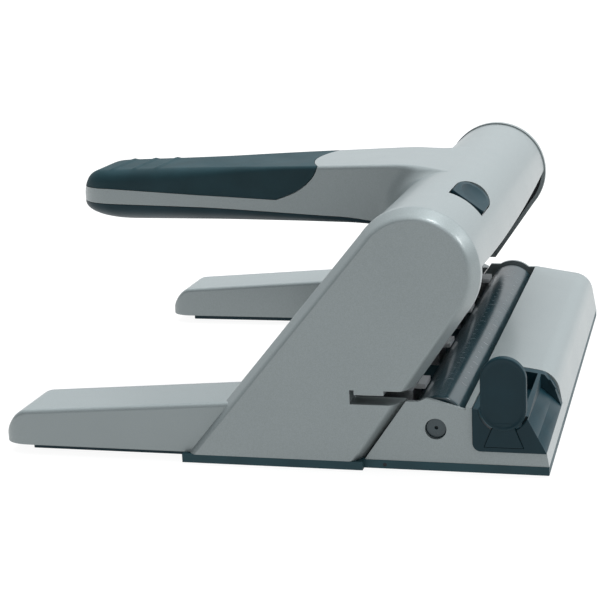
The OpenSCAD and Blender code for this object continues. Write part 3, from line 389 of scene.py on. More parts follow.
def finish_piece(obj, node, material=None, angle=EDGE_ANGLE, merge=0.004):
    """Cleans a built piece, and lets it stand for its CAD node."""
    bm = bmesh.new()
    bm.from_mesh(obj.data)
    bmesh.ops.remove_doubles(bm, verts=bm.verts, dist=merge * MM)
    bmesh.ops.dissolve_degenerate(bm, edges=bm.edges, dist=merge * MM)
    bm.to_mesh(obj.data)
    bm.free()
    obj.data.materials.clear()
    obj.data.materials.append(material or MATERIALS[SLOT[node]])
    smooth(obj, angle)
    weigh_normals(obj)
    apply_all(obj)
    stand_for(obj, node)


def soften(node, width, material=None):
    """A copy of a CAD node with rounded edges, which stands for the node."""
    material = material or MATERIALS[SLOT[node]]
    obj = new_object(node + "_piece", cad_copy(node), material, EDGE_ANGLE)
    add_bevel(obj, width)
    weigh_normals(obj, weight=60)
    apply_all(obj)
    stand_for(obj, node)


for name, obj in NODES.items():
    obj.data.materials.clear()
    obj.data.materials.append(MATERIALS[SLOT[name]])
# The uprights are dark to paint the shade that falls on the cheeks' inner faces; the rear beam
# and the flap wire take the same dark steel
for name in ("left_upright", "right_upright", "rear_beam", "flap_wire"):
    NODES[name].data.materials[0] = DARK_STEEL_AND_SHADE
for i in range(4):
    NODES[f"die_plate_{i + 1}"].data.materials[0] = PLATE_ZINC

soften("base_pan", width=0.4, material=PAN_PLASTIC)
for node in ("leg_sole_left", "leg_sole_right", "rear_cover"):
    soften(node, width=0.5)

# Body and side covers: dimensions that the CAD names too
PIVOT_Y, PIVOT_Z = -20.0, 101.0
LEAN, FLARE = math.radians(37.4), math.radians(2.5)
STRIP_H = 5.0
HALF_W, EAR_IN, EAR_R = 164.0, 150.0, 32.5
WALL, SKIN = 2.5, 2.5
LEG_IN, LEG_OUT = 119.0, 160.0
LEG_ROOT_Y, LEG_REACH = 60.0, 204.5
LEG_ROOT_H, LEG_TIP_H = 33.5, 22.9
LEG_EDGE_R = 2.5
SLOT_FLOOR, SLOT_LOW_H, SLOT_MOUTH_H = 35.1, 4.9, 7.3
SLOT_STEP_Y, SLOT_END_Y, RELIEF_W = -4.5, 12.8, 2.2
EAR_STEPS, LEG_EDGE_STEPS = 72, 6

# The leg's rounded nose: length, inset at each side, lift of the lower edge, least height
NOSE_L, NOSE_IN, NOSE_LIFT, NOSE_SHARE = 14.0, 8.0, 1.6, 0.31
NOSE_STEPS = 12

# Depth from the outer face and inset of the outline, along the rounded shoulder
SHOULDER = [
    (14, 0), (9.6, 0), (8.8, 0.08), (8.0, 0.35), (2.8, 2.9), (1.9, 3.4), (1.15, 3.9),
    (0.55, 4.45), (0.15, 5.0), (0, 5.5),
]
# The same for the room inside, which steps in where the shoulder turns
STEP_DEPTH, STEP_INSET = 4.95, WALL + 2.7
CAVITY = [
    (HALF_W - EAR_IN + OVER, WALL), (STEP_DEPTH, WALL), (STEP_DEPTH, STEP_INSET),
    (WALL, STEP_INSET),
]


def lean_pt(across, along):
    return (
        PIVOT_Y + across * math.cos(LEAN) + along * math.sin(LEAN),
        PIVOT_Z + across * math.sin(LEAN) - along * math.cos(LEAN),
    )


def edge_pt(side, r, z):
    """The point at height z on a cheek's rear (1) or front (-1) edge."""
    rise = side * r * math.sin(LEAN) / math.cos(FLARE)
    fall = math.cos(LEAN) - side * math.tan(FLARE) * math.sin(LEAN)
    along = (PIVOT_Z + rise - z) / fall
    return lean_pt(side * (r / math.cos(FLARE) + along * math.tan(FLARE)), along)


def cheek(inset, low=STRIP_H):
    """Outline of a cheek: a round ear with two edges that run down to the base."""
    r = EAR_R - inset
    ear = arc(PIVOT_Y, PIVOT_Z, r, LEAN - FLARE, math.pi + 2 * FLARE, EAR_STEPS)
    return ear + [edge_pt(-1, r, low), edge_pt(1, r, low)]


def slot_outline(grow):
    """The paper slot's stepped outline, open to the front, widened on all sides by grow."""
    mouth, floor = SLOT_STEP_Y - EAR_R, SLOT_FLOOR - grow
    low, high = SLOT_FLOOR + SLOT_LOW_H + grow, SLOT_FLOOR + SLOT_MOUTH_H + grow
    step, relief, end = SLOT_STEP_Y + grow, SLOT_END_Y - RELIEF_W - grow, SLOT_END_Y + grow
    return [
        (mouth, floor), (end, floor), (end, high), (relief, high), (relief, low),
        (step, low), (step, high), (mouth, high),
    ]


def leg_ring(y, top, low, inset):
    """A section of the leg: two rounded upper edges over straight sides."""
    r = LEG_EDGE_R
    x0, x1 = LEG_IN + inset, LEG_OUT - inset
    turns = [math.pi / 2 * k / LEG_EDGE_STEPS for k in range(LEG_EDGE_STEPS + 1)]
    left = [
        (x0 + r - r * math.sin(a), y, top - r + r * math.cos(a)) for a in reversed(turns)
    ]
    right = [(x1 - r + r * math.sin(a), y, top - r + r * math.cos(a)) for a in turns]
    return [(x0, y, low), *left, *right, (x1, y, low)]


def leg_loft(inset, y0, low):
    """The whole leg, or with an inset the room inside it, which ends before the nose."""
    def top(y):
        share = (y - LEG_ROOT_Y) / (LEG_REACH - LEG_ROOT_Y)
        return LEG_ROOT_H + (LEG_TIP_H - LEG_ROOT_H) * min(1.0, share)

    flat = LEG_REACH - NOSE_L
    rings = [leg_ring(y, top(y) - inset, low, inset) for y in (y0, flat)]
    if inset:
        return loft(rings)
    for k in range(1, NOSE_STEPS + 1):
        a = math.pi / 2 * k / NOSE_STEPS
        c = max(0.0, math.cos(a))
        y = flat + NOSE_L * math.sin(a)
        height = (top(y) - STRIP_H) * (NOSE_SHARE + (1 - NOSE_SHARE) * c**1.8)
        lift = NOSE_LIFT * (1 - c) ** 4
        rings.append(leg_ring(y, STRIP_H + height, low + lift, NOSE_IN * (1 - c**1.1)))
    return loft(rings)


def side_cover(side, node):
    def hand(bm):
        return bm if side > 0 else mirror_x(bm)

    skin = [along_x(cheek(inset), HALF_W - depth) for depth, inset in SHOULDER]
    room = [along_x(cheek(inset, STRIP_H - OVER), HALF_W - depth) for depth, inset in CAVITY]
    obj = new_object(node + "_piece", hand(loft(skin)))
    combine(obj, hand(leg_loft(0, LEG_ROOT_Y, STRIP_H)), "UNION")
    hollow = new_object("hollow", loft(room))
    around_slot = slab(slot_outline(WALL), EAR_IN - 3 * OVER, HALF_W + OVER)
    combine(hollow, around_slot, "DIFFERENCE")
    combine(obj, hand(take_mesh(hollow)), "DIFFERENCE")
    combine(obj, hand(leg_loft(WALL, LEG_ROOT_Y + WALL, STRIP_H - OVER)), "DIFFERENCE")
    combine(obj, hand(slab(slot_outline(0), LEG_IN - OVER, HALF_W + OVER)), "DIFFERENCE")
    finish_piece(obj, node, angle=30)


side_cover(1, "right_side_cover")
side_cover(-1, "left_side_cover")

# Lever: the hood and the handle's plan, top and underside
HOOD_R, HOOD_HALF_W, CORE_REACH = 31.7, 149.5, 60.0
HOOD_FROM, HOOD_TO = math.radians(-10), math.radians(187.5)
HOOD_RIM = [(0, 0.5), (0.2, 0.15), (0.6, 0)]
MOUTH_MID_Z, MOUTH_RISE = PIVOT_Z - 3.2, 5.6
REACH = 210.0
HANDLE_HALF, TIP_HALF = 35.0, 26.5
TAPER_Y0, TAPER_Y1 = 20.0, 125.0
HANDLE_LOW = 98.1
TOP_AT_0, TOP_SLOPE = 135.4, 5.8 / REACH
ROOT_A = math.radians(4.4)
ROOT_Y = PIVOT_Y - HOOD_R * math.sin(ROOT_A)
ROOT_Z = PIVOT_Z + HOOD_R * math.cos(ROOT_A)
TOP_BLEND = 0.5
TIP_PLAN_R, TIP_TOP_R, TIP_LOW_L, TIP_LOW_H = 24.0, 17.0, 34.0, 11.0
BLEND_R = 12.0

# Its long upper edges, which grow rounder towards the grip
EDGE_R, EDGE_R_GAIN, EDGE_Y0, EDGE_RUN = 2.4, 5.0, 70.0, 90.0
THIN = 0.15

# Ridges across the grip
RIBS = [REACH * s for s in (0.755, 0.822, 0.887)]
RIB_H, RIB_HALF, RIB_HALF_W, RIB_FADE = 0.9, 2.6, 17.0, 6.0

# Seams in side view, as shares of the reach and of the hood's radius
BAND = [
    (0.095, 0.019), (0.185, 0.104), (0.269, 0.132), (0.435, 0.186), (0.62, 0.24),
    (0.917, 0.303), (1.1, 0.31),
]
GRIP_EDGE = [(0.274, 1.057), (0.283, 0.899), (0.3, 0.754), (0.337, 0.565), (0.398, 0.407)]
GRIP_LOW = [(0.62, 0.47), (0.898, 0.59)]
SEAM_GAP, SEAM_DROP = 0.15, 0.5
NOTCH_R, NOTCH_Y, NOTCH_LOW, NOTCH_HIGH = 70.0, -5.0, PIVOT_Z - 40, PIVOT_Z + 60
SIDE_REACH = 50.0
HOLLOW_Y = -15.0

# Where the handle has its sections, and the points of half a section
ROOT_STEPS = (3.4, 5, 7, 9.5, 12, 15, 18, 21, 24.5, 28, 31, 34, 38)
RIB_STEPS = (-2.6, -2.1, -1.6, -1.1, -0.6, 0, 0.6, 1.1, 1.6, 2.1, 2.6)
TAPER_STEP, TAPER_SECTIONS, TIP_STEP, TIP_SECTIONS = 6.5, 21, 5.0, 14
ROOT_SHRINKS = (0.9, 0.985)
TIP_GAP, LEAST_STEP = 0.2, 0.35
TOP_POINTS, EDGE_STEPS, SIDE_STEPS, BELLY_STEPS = 5, 8, 12, 10
HOLLOW_STEPS, HOLLOW_BELLY_STEPS = 63, 12
HOOD_STEPS, BOW_STEPS, ROUND_STEPS = 132, 48, 160


def side_pt(s):
    return (REACH * s[0], PIVOT_Z + HOOD_R * s[1])


BAND_LINE = [side_pt(s) for s in BAND]


def seam_at(y):
    return lookup(BAND_LINE, y) - SEAM_DROP


def top_line(y):
    rise = ROOT_Z + (y - ROOT_Y) * math.tan(ROOT_A)
    fall = TOP_AT_0 - y * TOP_SLOPE
    h = max(0.0, TOP_BLEND - abs(rise - fall)) / TOP_BLEND
    t = clamp((y - REACH + TIP_TOP_R) / TIP_TOP_R)
    return min(rise, fall) - h * h * TOP_BLEND / 4 - TIP_TOP_R * quarter_drop(t)


def low_line(y):
    t = clamp((y - REACH + TIP_LOW_L) / TIP_LOW_L)
    return HANDLE_LOW + TIP_LOW_H * quarter_drop(t)


def plan_half(y):
    share = (y - TAPER_Y0) / (TAPER_Y1 - TAPER_Y0)
    w = HANDLE_HALF - (HANDLE_HALF - TIP_HALF) * clamp(share)
    return w - TIP_PLAN_R * quarter_drop(clamp((y - REACH + TIP_PLAN_R) / TIP_PLAN_R))


def side_x(y, z):
    """Half the handle's width, with the fillet by which it stands out near the hood."""
    gap = BLEND_R - max(0.0, math.hypot(y - PIVOT_Y, z - PIVOT_Z) - HOOD_R)
    width = plan_half(min(y, REACH))
    return width + BLEND_R * quarter_drop(gap / BLEND_R) if gap > 0 else width


def rib_bump(y, x):
    fade = 1 - ease((abs(x) - RIB_HALF_W) / RIB_FADE)
    lift = sum(max(0.0, 1 - ((y - r) / RIB_HALF) ** 2) ** 2 for r in RIBS)
    return RIB_H * lift * fade


def handle_ring(y_top, shrink=1.0):
    """One closed section of the handle, at a fixed distance from the pivot."""
    zt = top_line(y_top)
    rho = math.hypot(y_top - PIVOT_Y, zt - PIVOT_Z)

    def on_circle(z):
        return PIVOT_Y + math.sqrt(max(0.0, rho**2 - (z - PIVOT_Z) ** 2))

    z_low, z_seam = HANDLE_LOW, PIVOT_Z
    for _ in range(4):
        z_low = low_line(on_circle(z_low))
        z_seam = seam_at(on_circle(z_seam))
    z_low = min(z_low, zt - 1.0)
    z_seam = max(z_low + 0.3, min(z_seam, zt - 0.6))
    hood_top = PIVOT_Z + math.sqrt(max(0.0, HOOD_R**2 - (y_top - PIVOT_Y) ** 2))
    r = EDGE_R + EDGE_R_GAIN * ease((y_top - EDGE_Y0) / EDGE_RUN)
    r = max(THIN, min(r, 0.45 * (zt - hood_top), 0.8 * (zt - z_seam)))

    x_edge = max(0.2, side_x(y_top, zt) - r)
    half = [(x_edge * k / TOP_POINTS, y_top, zt) for k in range(TOP_POINTS)]
    for k in range(EDGE_STEPS + 1):
        a = math.pi / 2 * (1 - k / EDGE_STEPS)
        z = zt - r * (1 - math.sin(a))
        y = on_circle(z) if k else y_top
        half.append((max(THIN, side_x(y, z) - r * (1 - math.cos(a))), y, z))
    for k in range(1, SIDE_STEPS + 1):
        z = zt - r + (z_seam - zt + r) * k / SIDE_STEPS
        half.append((max(THIN, side_x(on_circle(z), z)), on_circle(z), z))
    belly = max(THIN, side_x(on_circle(z_seam), z_seam))
    for k in range(1, BELLY_STEPS + 1):
        a = math.pi / 2 * k / BELLY_STEPS
        z = z_seam - (z_seam - z_low) * math.sin(a)
        half.append((belly * math.cos(a), on_circle(z), z))
    half = [(x, y, z + rib_bump(y, x) if z > zt - r - 0.01 else z) for x, y, z in half]
    half[-1] = (0.0, *half[-1][1:])
    ring = half + [(-x, y, z) for x, y, z in half[-2:0:-1]]
    return [
        (x, PIVOT_Y + (y - PIVOT_Y) * shrink, PIVOT_Z + (z - PIVOT_Z) * shrink)
        for x, y, z in ring
    ]


def stations():
    """Where along the top the handle's sections start, closer where its shape turns."""
    end = REACH - TIP_GAP
    ys = [ROOT_Y + d for d in ROOT_STEPS]
    ys += [TAPER_Y0 + TAPER_STEP * k for k in range(TAPER_SECTIONS)]
    ys += [rib + d for rib in RIBS for d in RIB_STEPS]
    ys += [end - 2 * TIP_PLAN_R + TIP_STEP * k for k in range(5)]
    turns = [math.pi / 2 * k / TIP_SECTIONS for k in range(TIP_SECTIONS)]
    ys += [end - TIP_PLAN_R * (1 - math.sin(a)) for a in turns]
    ys.sort()
    keep = [ys[0]]
    for y in ys[1:]:
        if y - keep[-1] > LEAST_STEP and y < end:
            keep.append(y)
    return keep + [end]


def handle_loft():
    """The whole handle; its first two sections lie inside the hood."""
    inside = [handle_ring(ROOT_Y, shrink) for shrink in ROOT_SHRINKS]
    return loft(inside + [handle_ring(y) for y in stations()])


def handle_hollow():
    """The room inside the handle, one skin inside its faces."""
    rings = []
    length = REACH - SKIN - HOLLOW_Y
    for k in range(HOLLOW_STEPS + 1):
        y = HOLLOW_Y + length * math.sin(math.pi / 2 * k / HOLLOW_STEPS) ** 0.8
        x, top, low = plan_half(y) - SKIN, top_line(y) - SKIN, low_line(y) + SKIN
        seam = max(low + 0.2, min(top - 1.5, seam_at(y)))
        half = [(0, top), (x * 0.5, top), (x - 1.2, top), (x - 0.35, top - 0.35), (x, top - 1.2)]
        for i in range(HOLLOW_BELLY_STEPS):
            a = math.pi / 2 / HOLLOW_BELLY_STEPS * i
            half.append((x * math.cos(a), seam - (seam - low) * math.sin(a)))
        half.append((0, low))
        rings.append(
            [(a, y, z) for a, z in half] + [(-a, y, z) for a, z in half[-2:0:-1]]
        )
    return loft(rings)


def grip_region(gap):
    """The room that holds the grip: behind a curved edge, over the band, round a notch."""
    edge = [*curve_through([side_pt(s) for s in GRIP_EDGE]), *(side_pt(s) for s in GRIP_LOW)]
    edge = [(y + gap, z + gap) for y, z in edge]
    far, high = REACH * 1.1, PIVOT_Z + HOOD_R * 1.5
    points = edge + [(far, edge[-1][1]), (far, high), (edge[0][0], high)]
    obj = new_object("region", slab(points, -SIDE_REACH, SIDE_REACH))
    plan = circle(0, NOTCH_Y, NOTCH_R + gap, ROUND_STEPS)
    notch = loft([[(x, y, z) for x, y in plan] for z in (NOTCH_LOW, NOTCH_HIGH)])
    combine(obj, notch, "DIFFERENCE")
    return take_mesh(obj)


def underside_region(gap):
    """The room under the band, which holds the dark underside."""
    line = curve_through(BAND_LINE[:-1], 4) + [BAND_LINE[-1]]
    line = [(y, z - gap) for y, z in line]
    line[0] = (line[0][0] + gap, line[0][1])
    low = PIVOT_Z - HOOD_R * 0.7
    return slab(line + [(line[-1][0], low), (line[0][0], low)], -SIDE_REACH, SIDE_REACH)


def hood_shell():
    """The hood without its handle: a thick curved skin, with a slightly bowed front edge."""
    sweep, inner = HOOD_TO - HOOD_FROM, HOOD_R - SKIN

    def ring(x, drop):
        skin, lining = (
            arc(PIVOT_Y, PIVOT_Z, r, HOOD_FROM, sweep, HOOD_STEPS) for r in (HOOD_R - drop, inner)
        )
        return along_x(skin + lining[::-1], x)

    rings = [ring(-HOOD_HALF_W + depth, drop) for depth, drop in HOOD_RIM]
    rings += [ring(HOOD_HALF_W - depth, drop) for depth, drop in reversed(HOOD_RIM)]
    obj = new_object("lever_cover_piece", loft(rings))
    bow = []
    for k in range(BOW_STEPS + 1):
        z = MOUTH_MID_Z + MOUTH_RISE * (2 * k / BOW_STEPS - 1) ** 2
        bow.append((2 * HALF_W * (k / BOW_STEPS - 0.5), z))
    bow += [(HALF_W, PIVOT_Z - HOOD_R), (-HALF_W, PIVOT_Z - HOOD_R)]
    rear = PIVOT_Y - HOOD_R / 2
    cut = loft([[(x, y, z) for x, z in bow] for y in (rear - HOOD_R, rear)])
    combine(obj, cut, "DIFFERENCE")
    return obj


# Lever lock: a D-shaped slider that lies square to the hood's skin
LOCK_A = math.radians(126)
LOCK_X0, LOCK_MID, LOCK_END, LOCK_W = -97.0, -78.0, -57.0, 20.0
LOCK_LOW, LOCK_TOP, LOCK_CHAMFER = 20.0, 30.9, 1.6
POCKET_X0, POCKET_END, POCKET_W = -103.6, -56.0, 21.0
POCKET_LOW, POCKET_TOP = 24.0, 36.0
DISH_X, DISH_HALF_L, DISH_HALF_W, DISH_DEPTH, DISH_R = -76.0, 19.0, 9.2, 2.6, 6.0
LOCK_STEPS = 48


def lock_pt(x, across, height):
    return (
        x,
        PIVOT_Y + height * math.cos(LOCK_A) + across * math.sin(LOCK_A),
        PIVOT_Z + height * math.sin(LOCK_A) - across * math.cos(LOCK_A),
    )


def d_prism(x0, end_x, w, h0, h1, chamfer=0.0):
    """A D outline raised square to the skin: straight at x0, half an ellipse to end_x."""
    r = w / 2
    outline = [(x0, -r + chamfer), (x0 + chamfer * 0.8, -r)]
    for k in range(LOCK_STEPS + 1):
        a = math.pi * k / LOCK_STEPS
        outline.append((LOCK_MID + (end_x - LOCK_MID) * math.sin(a), -r * math.cos(a)))
    outline += [(x0 + chamfer * 0.8, r), (x0, r - chamfer)]
    return loft([[lock_pt(x, v, h) for x, v in outline] for h in (h0, h1)])


def dish():
    """An ellipsoid whose cap presses the finger dish into the slider's top."""
    bm = bmesh.new()
    bmesh.ops.create_uvsphere(bm, u_segments=64, v_segments=32, radius=1)
    middle = LOCK_TOP + DISH_R - DISH_DEPTH
    for v in bm.verts:
        a, b, c = v.co
        p = lock_pt(DISH_X + a * DISH_HALF_L, b * DISH_HALF_W, middle + c * DISH_R)
        v.co = Vector(p) * MM
    return bm


def build_lock():
    body = d_prism(LOCK_X0, LOCK_END, LOCK_W, LOCK_LOW, LOCK_TOP, LOCK_CHAMFER)
    obj = new_object("lock_slider_piece", body)
    round_edges(obj, width=0.45)
    combine(obj, dish(), "DIFFERENCE")
    finish_piece(obj, "lock_slider", angle=30)


def build_lever():
    core = slab(circle(PIVOT_Y, PIVOT_Z, HOOD_R - SKIN, ROUND_STEPS), -CORE_REACH, CORE_REACH)
    shell = new_object("shell", handle_loft())
    combine(shell, core, "DIFFERENCE")
    combine(shell, handle_hollow(), "DIFFERENCE")

    def part_of_shell(name, region):
        obj = bpy.data.objects.new(name, shell.data.copy())
        bpy.context.scene.collection.objects.link(obj)
        combine(obj, region, "INTERSECT")
        return obj

    grip = part_of_shell("handle_grip_piece", grip_region(SEAM_GAP))
    under = part_of_shell("handle_underside_piece", underside_region(SEAM_GAP))
    combine(shell, grip_region(-SEAM_GAP), "DIFFERENCE")
    combine(shell, underside_region(-SEAM_GAP), "DIFFERENCE")
    body = hood_shell()
    combine(body, take_mesh(shell), "UNION")
    combine(body, handle_hollow(), "DIFFERENCE")
    pocket = d_prism(POCKET_X0, POCKET_END, POCKET_W, POCKET_LOW, POCKET_TOP)
    combine(body, pocket, "DIFFERENCE")
    finish_piece(grip, "handle_grip", angle=40)
    finish_piece(under, "handle_underside", angle=40)
    finish_piece(body, "lever_cover")

# Paper table: its near end wall falls in one line from the cheek to the table's edge
TABLE_FALL = math.tan(math.radians(9))
LIP_Y, LIP_Z = -44.6, 34.6
LIP_END = LIP_Y + 0.05
END_X, END_DEPTH = 159.5, 3.5
WALL_REAR_Y, WALL_HIGH = 9, 45
WALL_LINE = [
    (WALL_REAR_Y, 38.9), (-14, 38.9), (-21, 38.6), (-26, 37.8), (-31, 36.5), (-39, 34.3),
    (LIP_END, 32.8),
]


def table_top(y):
    return LIP_Z + (y - LIP_Y) * TABLE_FALL


def build_table():
    obj = new_object("paper_table_piece", cad_copy("paper_table"))
    over = curve_through(WALL_LINE, 4) + [(LIP_END, WALL_HIGH), (WALL_REAR_Y, WALL_HIGH)]
    combine(obj, slab(over, -END_X - OVER, -END_X + END_DEPTH), "DIFFERENCE")
    round_edges(obj, width=0.5)
    finish_piece(obj, "paper_table")


# Paper guide: a housing with a well and a hollowed front, and an oval tab on a foot
CAP_X0, CAP_X1 = -161.7, -77.3
CAP_REAR_Y, CAP_LOW_Z, CAP_CORNER = -48.0, 12.4, 4.0
CAP_TOP_Y, CAP_BREAK, CAP_FRONT_Y = -75.2, (-80.3, 23.4), -84.2
WELL_X0, WELL_X1 = -157.5, -83.5
WELL_Y0, WELL_Y1, WELL_FLOOR, WELL_HIGH = -71.8, -51.0, 21.5, 40.0
SCOOP_X0, SCOOP_FRONT_Y, SCOOP_HIGH = -163.0, -95.0, 45.0
SCOOP_LOW = (-84.4, CAP_LOW_Z - 0.2)
SCOOP_NEAR = [(-75.3, 29.5), (-80.0, 20.6), SCOOP_LOW]
SCOOP_FAR = [(-73.4, 22.6), (-79.4, 17.6), SCOOP_LOW]
HOOK = [(-77.6, 26.6), (-80.4, 21.4), (-81.4, 22.4), (-78.4, 27.6)]
TAB_Y, TAB_Z, TAB_R, TAB_HALF = -63.4, 42.3, 11.3, 7.3
TAB_X0, TAB_THICK, TAB_ROOM = CAP_X0 - 1.2, 4.2, 1.4
# Depth from the tab's outer face and step in from its outline, from the rear to the dished front
TAB_RIM = [(0.7, 0), (0.2, 0.25), (0, 0.8), (0.1, 1.3), (0.55, 1.8), (0.8, 3)]
FOOT = [(-9.6, 15.0), (9.6, 15.0), (4.4, 27.5), (-4.4, 27.5)]
FOOT_SPREAD = [(-1, -1), (1, -1), (1, 0), (-1, 0)]
FOOT_ROOM, FOOT_DEPTH = 0.35, 2.5
TAB_STEPS, CORNER_STEPS = 32, 8


def oval(r):
    low = arc(TAB_Y, TAB_Z - TAB_HALF, r, math.pi, math.pi, TAB_STEPS)
    return low + arc(TAB_Y, TAB_Z + TAB_HALF, r, 0, math.pi, TAB_STEPS)


def foot_points(grow):
    return [
        (TAB_Y + y + grow * a, z + grow * b) for (y, z), (a, b) in zip(FOOT, FOOT_SPREAD)
    ]


def build_guide_cap():
    centre_y, centre_z = CAP_REAR_Y - CAP_CORNER, CAP_LOW_Z + CAP_CORNER
    profile = arc(centre_y, centre_z, CAP_CORNER, -math.pi / 2, math.pi / 2, CORNER_STEPS) + [
        (CAP_REAR_Y, table_top(CAP_REAR_Y)), (CAP_TOP_Y, table_top(CAP_TOP_Y)), CAP_BREAK,
        (CAP_FRONT_Y, CAP_LOW_Z),
    ]
    obj = new_object("guide_cap_piece", slab(profile, CAP_X0, CAP_X1))
    well = [
        (WELL_Y0, WELL_FLOOR), (WELL_Y1, WELL_FLOOR), (WELL_Y1, WELL_HIGH), (WELL_Y0, WELL_HIGH),
    ]
    combine(obj, slab(well, WELL_X0, WELL_X1), "DIFFERENCE")
    scoop = []
    for x, line in ((SCOOP_X0, SCOOP_NEAR), (WELL_X1, SCOOP_FAR)):
        front = [(SCOOP_FRONT_Y, SCOOP_LOW[1]), (SCOOP_FRONT_Y, SCOOP_HIGH)]
        scoop.append(along_x(line + front + [(line[0][0], SCOOP_HIGH)], x))
    combine(obj, loft(scoop), "DIFFERENCE")
    combine(obj, slab(oval(TAB_R + TAB_ROOM), CAP_X0 - OVER, WELL_X0 + 0.5), "DIFFERENCE")
    combine(obj, slab(foot_points(FOOT_ROOM), CAP_X0 - OVER, CAP_X0 + 3), "DIFFERENCE")
    combine(obj, slab(HOOK, WELL_X1 - 1.2, WELL_X1 + OVER), "UNION")
    round_edges(obj, width=0.4)
    finish_piece(obj, "guide_cap")


def build_guide_tab():
    rear = [(TAB_THICK, 0.5), (TAB_THICK - 0.5, 0)]
    rings = [along_x(oval(TAB_R - step), TAB_X0 + depth) for depth, step in rear + TAB_RIM]
    tab = new_object("guide_tab_piece", loft(rings))
    foot = new_object("foot", slab(foot_points(0), TAB_X0 + 0.6, CAP_X0 + FOOT_DEPTH))
    round_edges(foot, width=0.3)
    combine(tab, take_mesh(foot), "UNION")
    finish_piece(tab, "guide_tab", angle=35)


# Drum with its generic scale
DRUM_Y, DRUM_Z, DRUM_R = -29.4, 22.4, 14.5
DRUM_HALF, JOURNAL_TIP, JOURNAL_R = 151.5, 157.3, 5.35
CENTRE_R, CENTRE_DEPTH = 0.95, 2.4
MARKS = [10.0 * k for k in range(-12, 13)]
MARK_HALF = 0.2
SCALE_PITCH, LONG_MARK, SHORT_MARK = 30, 12, 6
DRUM_STEPS = 120


def build_drum():
    right = [
        (DRUM_HALF - 1.6, DRUM_R), (DRUM_HALF - 0.5, DRUM_R - 0.45), (DRUM_HALF, DRUM_R - 1.4),
        (DRUM_HALF, JOURNAL_R + 0.6), (DRUM_HALF + 0.6, JOURNAL_R),
        (JOURNAL_TIP - 0.5, JOURNAL_R), (JOURNAL_TIP, JOURNAL_R - 0.5),
        (JOURNAL_TIP, CENTRE_R), (JOURNAL_TIP - CENTRE_DEPTH, CENTRE_R - 0.05),
    ]
    lines = sorted(x + d for x in MARKS for d in (-MARK_HALF, MARK_HALF))
    profile = [(-x, r) for x, r in reversed(right)] + [(x, DRUM_R) for x in lines] + right
    rings = [along_x(circle(DRUM_Y, DRUM_Z, r, DRUM_STEPS), x) for x, r in profile]
    obj = new_object("scale_drum_piece", loft(rings))
    finish_piece(obj, "scale_drum", DRUM_GLOSS, angle=40)
    obj.data.materials.append(PRINT)
    for face in obj.data.polygons:
        x, y, z = (c / MM for c in face.center)
        near = min(MARKS, key=lambda mark: abs(mark - x))
        length = LONG_MARK if MARKS.index(near) % 4 == 0 else SHORT_MARK
        turn = math.degrees(math.atan2(z - DRUM_Z, y - DRUM_Y)) % SCALE_PITCH
        on_skin = math.hypot(y - DRUM_Y, z - DRUM_Z) > DRUM_R - 0.3
        if on_skin and abs(x - near) < MARK_HALF and turn < length:
            face.material_index = 1


# Springs: wire radius, coil radius, turns and steps in a turn
PIN_WIRE, PIN_COIL_R, PIN_TURNS, PIN_STEPS = 0.75, 4.45, 5.5, 24
# How much of a pin spring's rise comes early and how fast, and the length kept when pressed
EARLY_RISE, EARLY_PACE, PIN_KEEP = 0.02, 4, 0.44
RETURN_WIRE, RETURN_COIL_R, RETURN_TURNS, RETURN_STEPS = 1.05, 8.2, 13, 28
RETURN_X0, RETURN_X1 = 22.5, 56.5
WIRE_STEPS = 10


def tube(path, r):
    """A round wire along a path of points."""
    rings = []
    side = None
    for i, p in enumerate(path):
        a, b = path[max(0, i - 1)], path[min(len(path) - 1, i + 1)]
        t = (Vector(b) - Vector(a)).normalized()
        if side is None:
            side = t.orthogonal().normalized()
        side = (side - t * side.dot(t)).normalized()
        other = t.cross(side)
        ring = circle(0, 0, r, WIRE_STEPS)
        rings.append([Vector(p) + u * side + v * other for u, v in ring])
    return loft(rings)


def build_pin_spring(i):
    node = f"pin_spring_{i}"
    low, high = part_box(node)
    centre = (low + high) / 2 / MM
    z0, z1 = low.z / MM + PIN_WIRE, high.z / MM - PIN_WIRE
    steps = int(PIN_TURNS * PIN_STEPS)
    path = []
    for k in range(steps + 1):
        a = 2 * math.pi * k / PIN_STEPS
        t = k / steps
        rise = ease(t * EARLY_PACE) * EARLY_RISE + t * (1 - EARLY_RISE)
        x, y = centre.x + PIN_COIL_R * math.cos(a), centre.y + PIN_COIL_R * math.sin(a)
        path.append((x, y, z0 + (z1 - z0) * rise))
    obj = new_object(node + "_coil", tube(path, PIN_WIRE))
    finish_piece(obj, node, angle=60, merge=0.001)
    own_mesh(obj)


def build_return_springs():
    """Both coils on the shaft, as one piece."""
    x0, x1 = RETURN_X0 + RETURN_WIRE, RETURN_X1 - RETURN_WIRE
    steps = RETURN_TURNS * RETURN_STEPS
    turns = [2 * math.pi * k / RETURN_STEPS for k in range(steps + 1)]
    both = bmesh.new()
    for side in (-1, 1):
        path = [
            (side * (x0 + (x1 - x0) * k / steps), PIVOT_Y + RETURN_COIL_R * math.cos(a),
             PIVOT_Z + RETURN_COIL_R * math.sin(a))
            for k, a in enumerate(turns)
        ]
        coil = new_object("coil", tube(path, RETURN_WIRE))
        both.from_mesh(coil.data)
        discard(coil)
    obj = new_object("return_springs_coils", both)
    finish_piece(obj, "return_springs", angle=60, merge=0.001)


build_lever()
build_lock()
build_table()
build_guide_cap()
build_guide_tab()
build_drum()
for i in range(4):
    build_pin_spring(i + 1)
build_return_springs()

# Studio: the direction a lamp shines in, its angle in degrees, its power, and whether its
# mirror image shows in glossy surfaces
LAMPS = {
    "top_soft": ((-0.28, -0.10, -1.0), 45, 3.0, False),
    "top_gloss": ((-0.15, 0.30, -1.0), 14, 1.0, True),
    "front_soft": ((-0.45, 0.85, -0.8), 45, 1.6, False),
    "front_gloss": ((-0.30, 0.95, -0.6), 14, 0.7, True),
    "near_fill": ((1.0, 0.25, -0.45), 60, 0.5, True),
}
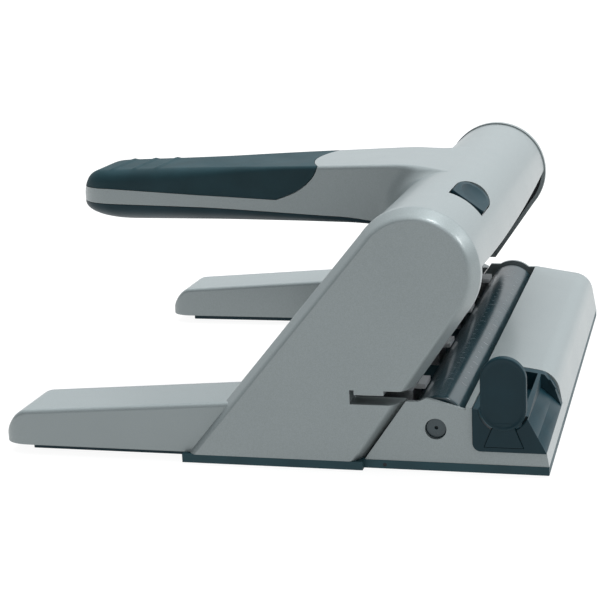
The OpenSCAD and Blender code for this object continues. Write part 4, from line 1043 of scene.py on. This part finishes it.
# The surroundings grow brighter along one direction: share of the way and colour
BRIGHT_SIDE = (0.55, -0.05, 0.83)
GRADIENT = [(0.0, (0.22, 0.23, 0.24)), (0.9, (0.95, 0.98, 1.0))]
SURROUND_POWER = 1.1
FLOOR_HALF, FLOOR_DROP, FLOOR_GLOW = 20, 0.0002, 0.93


def build_floor():
    bm = bmesh.new()
    bmesh.ops.create_grid(bm, x_segments=1, y_segments=1, size=FLOOR_HALF)
    m, _, shader = new_material("floor_white", (0.10, 0.10, 0.10), metallic=0, rough=0.8)
    shader.inputs["Emission Color"].default_value = (1.0, 1.0, 1.0, 1)
    shader.inputs["Emission Strength"].default_value = FLOOR_GLOW
    shader.inputs["Specular IOR Level"].default_value = 0.0
    floor = new_object("floor", bm, m)
    floor.location.z = -FLOOR_DROP


def build_surroundings():
    world = bpy.data.worlds.new("studio")
    bpy.context.scene.world = world
    world.use_nodes = True
    tree = world.node_tree
    background = tree.nodes["Background"]
    coord = tree.nodes.new("ShaderNodeTexCoord")
    along = tree.nodes.new("ShaderNodeVectorMath")
    along.operation = "DOT_PRODUCT"
    along.inputs[1].default_value = BRIGHT_SIDE
    ramp = tree.nodes.new("ShaderNodeValToRGB")
    tree.links.new(coord.outputs["Generated"], along.inputs[0])
    tree.links.new(along.outputs["Value"], ramp.inputs["Fac"])
    tree.links.new(ramp.outputs["Color"], background.inputs["Color"])
    for end, (position, colour) in zip(ramp.color_ramp.elements, GRADIENT):
        end.position = position
        end.color = (*colour, 1)
    background.inputs["Strength"].default_value = SURROUND_POWER


def build_lamps():
    for name, (travel, angle, power, mirrored) in LAMPS.items():
        data = bpy.data.lights.new(name, "SUN")
        data.angle = math.radians(angle)
        data.energy = power
        lamp = bpy.data.objects.new(name, data)
        bpy.context.scene.collection.objects.link(lamp)
        lamp.visible_glossy = mirrored
        lamp.rotation_euler = Vector(travel).to_track_quat("-Z", "Y").to_euler()


build_floor()
build_surroundings()
build_lamps()
bpy.context.scene.view_settings.view_transform = "Standard"
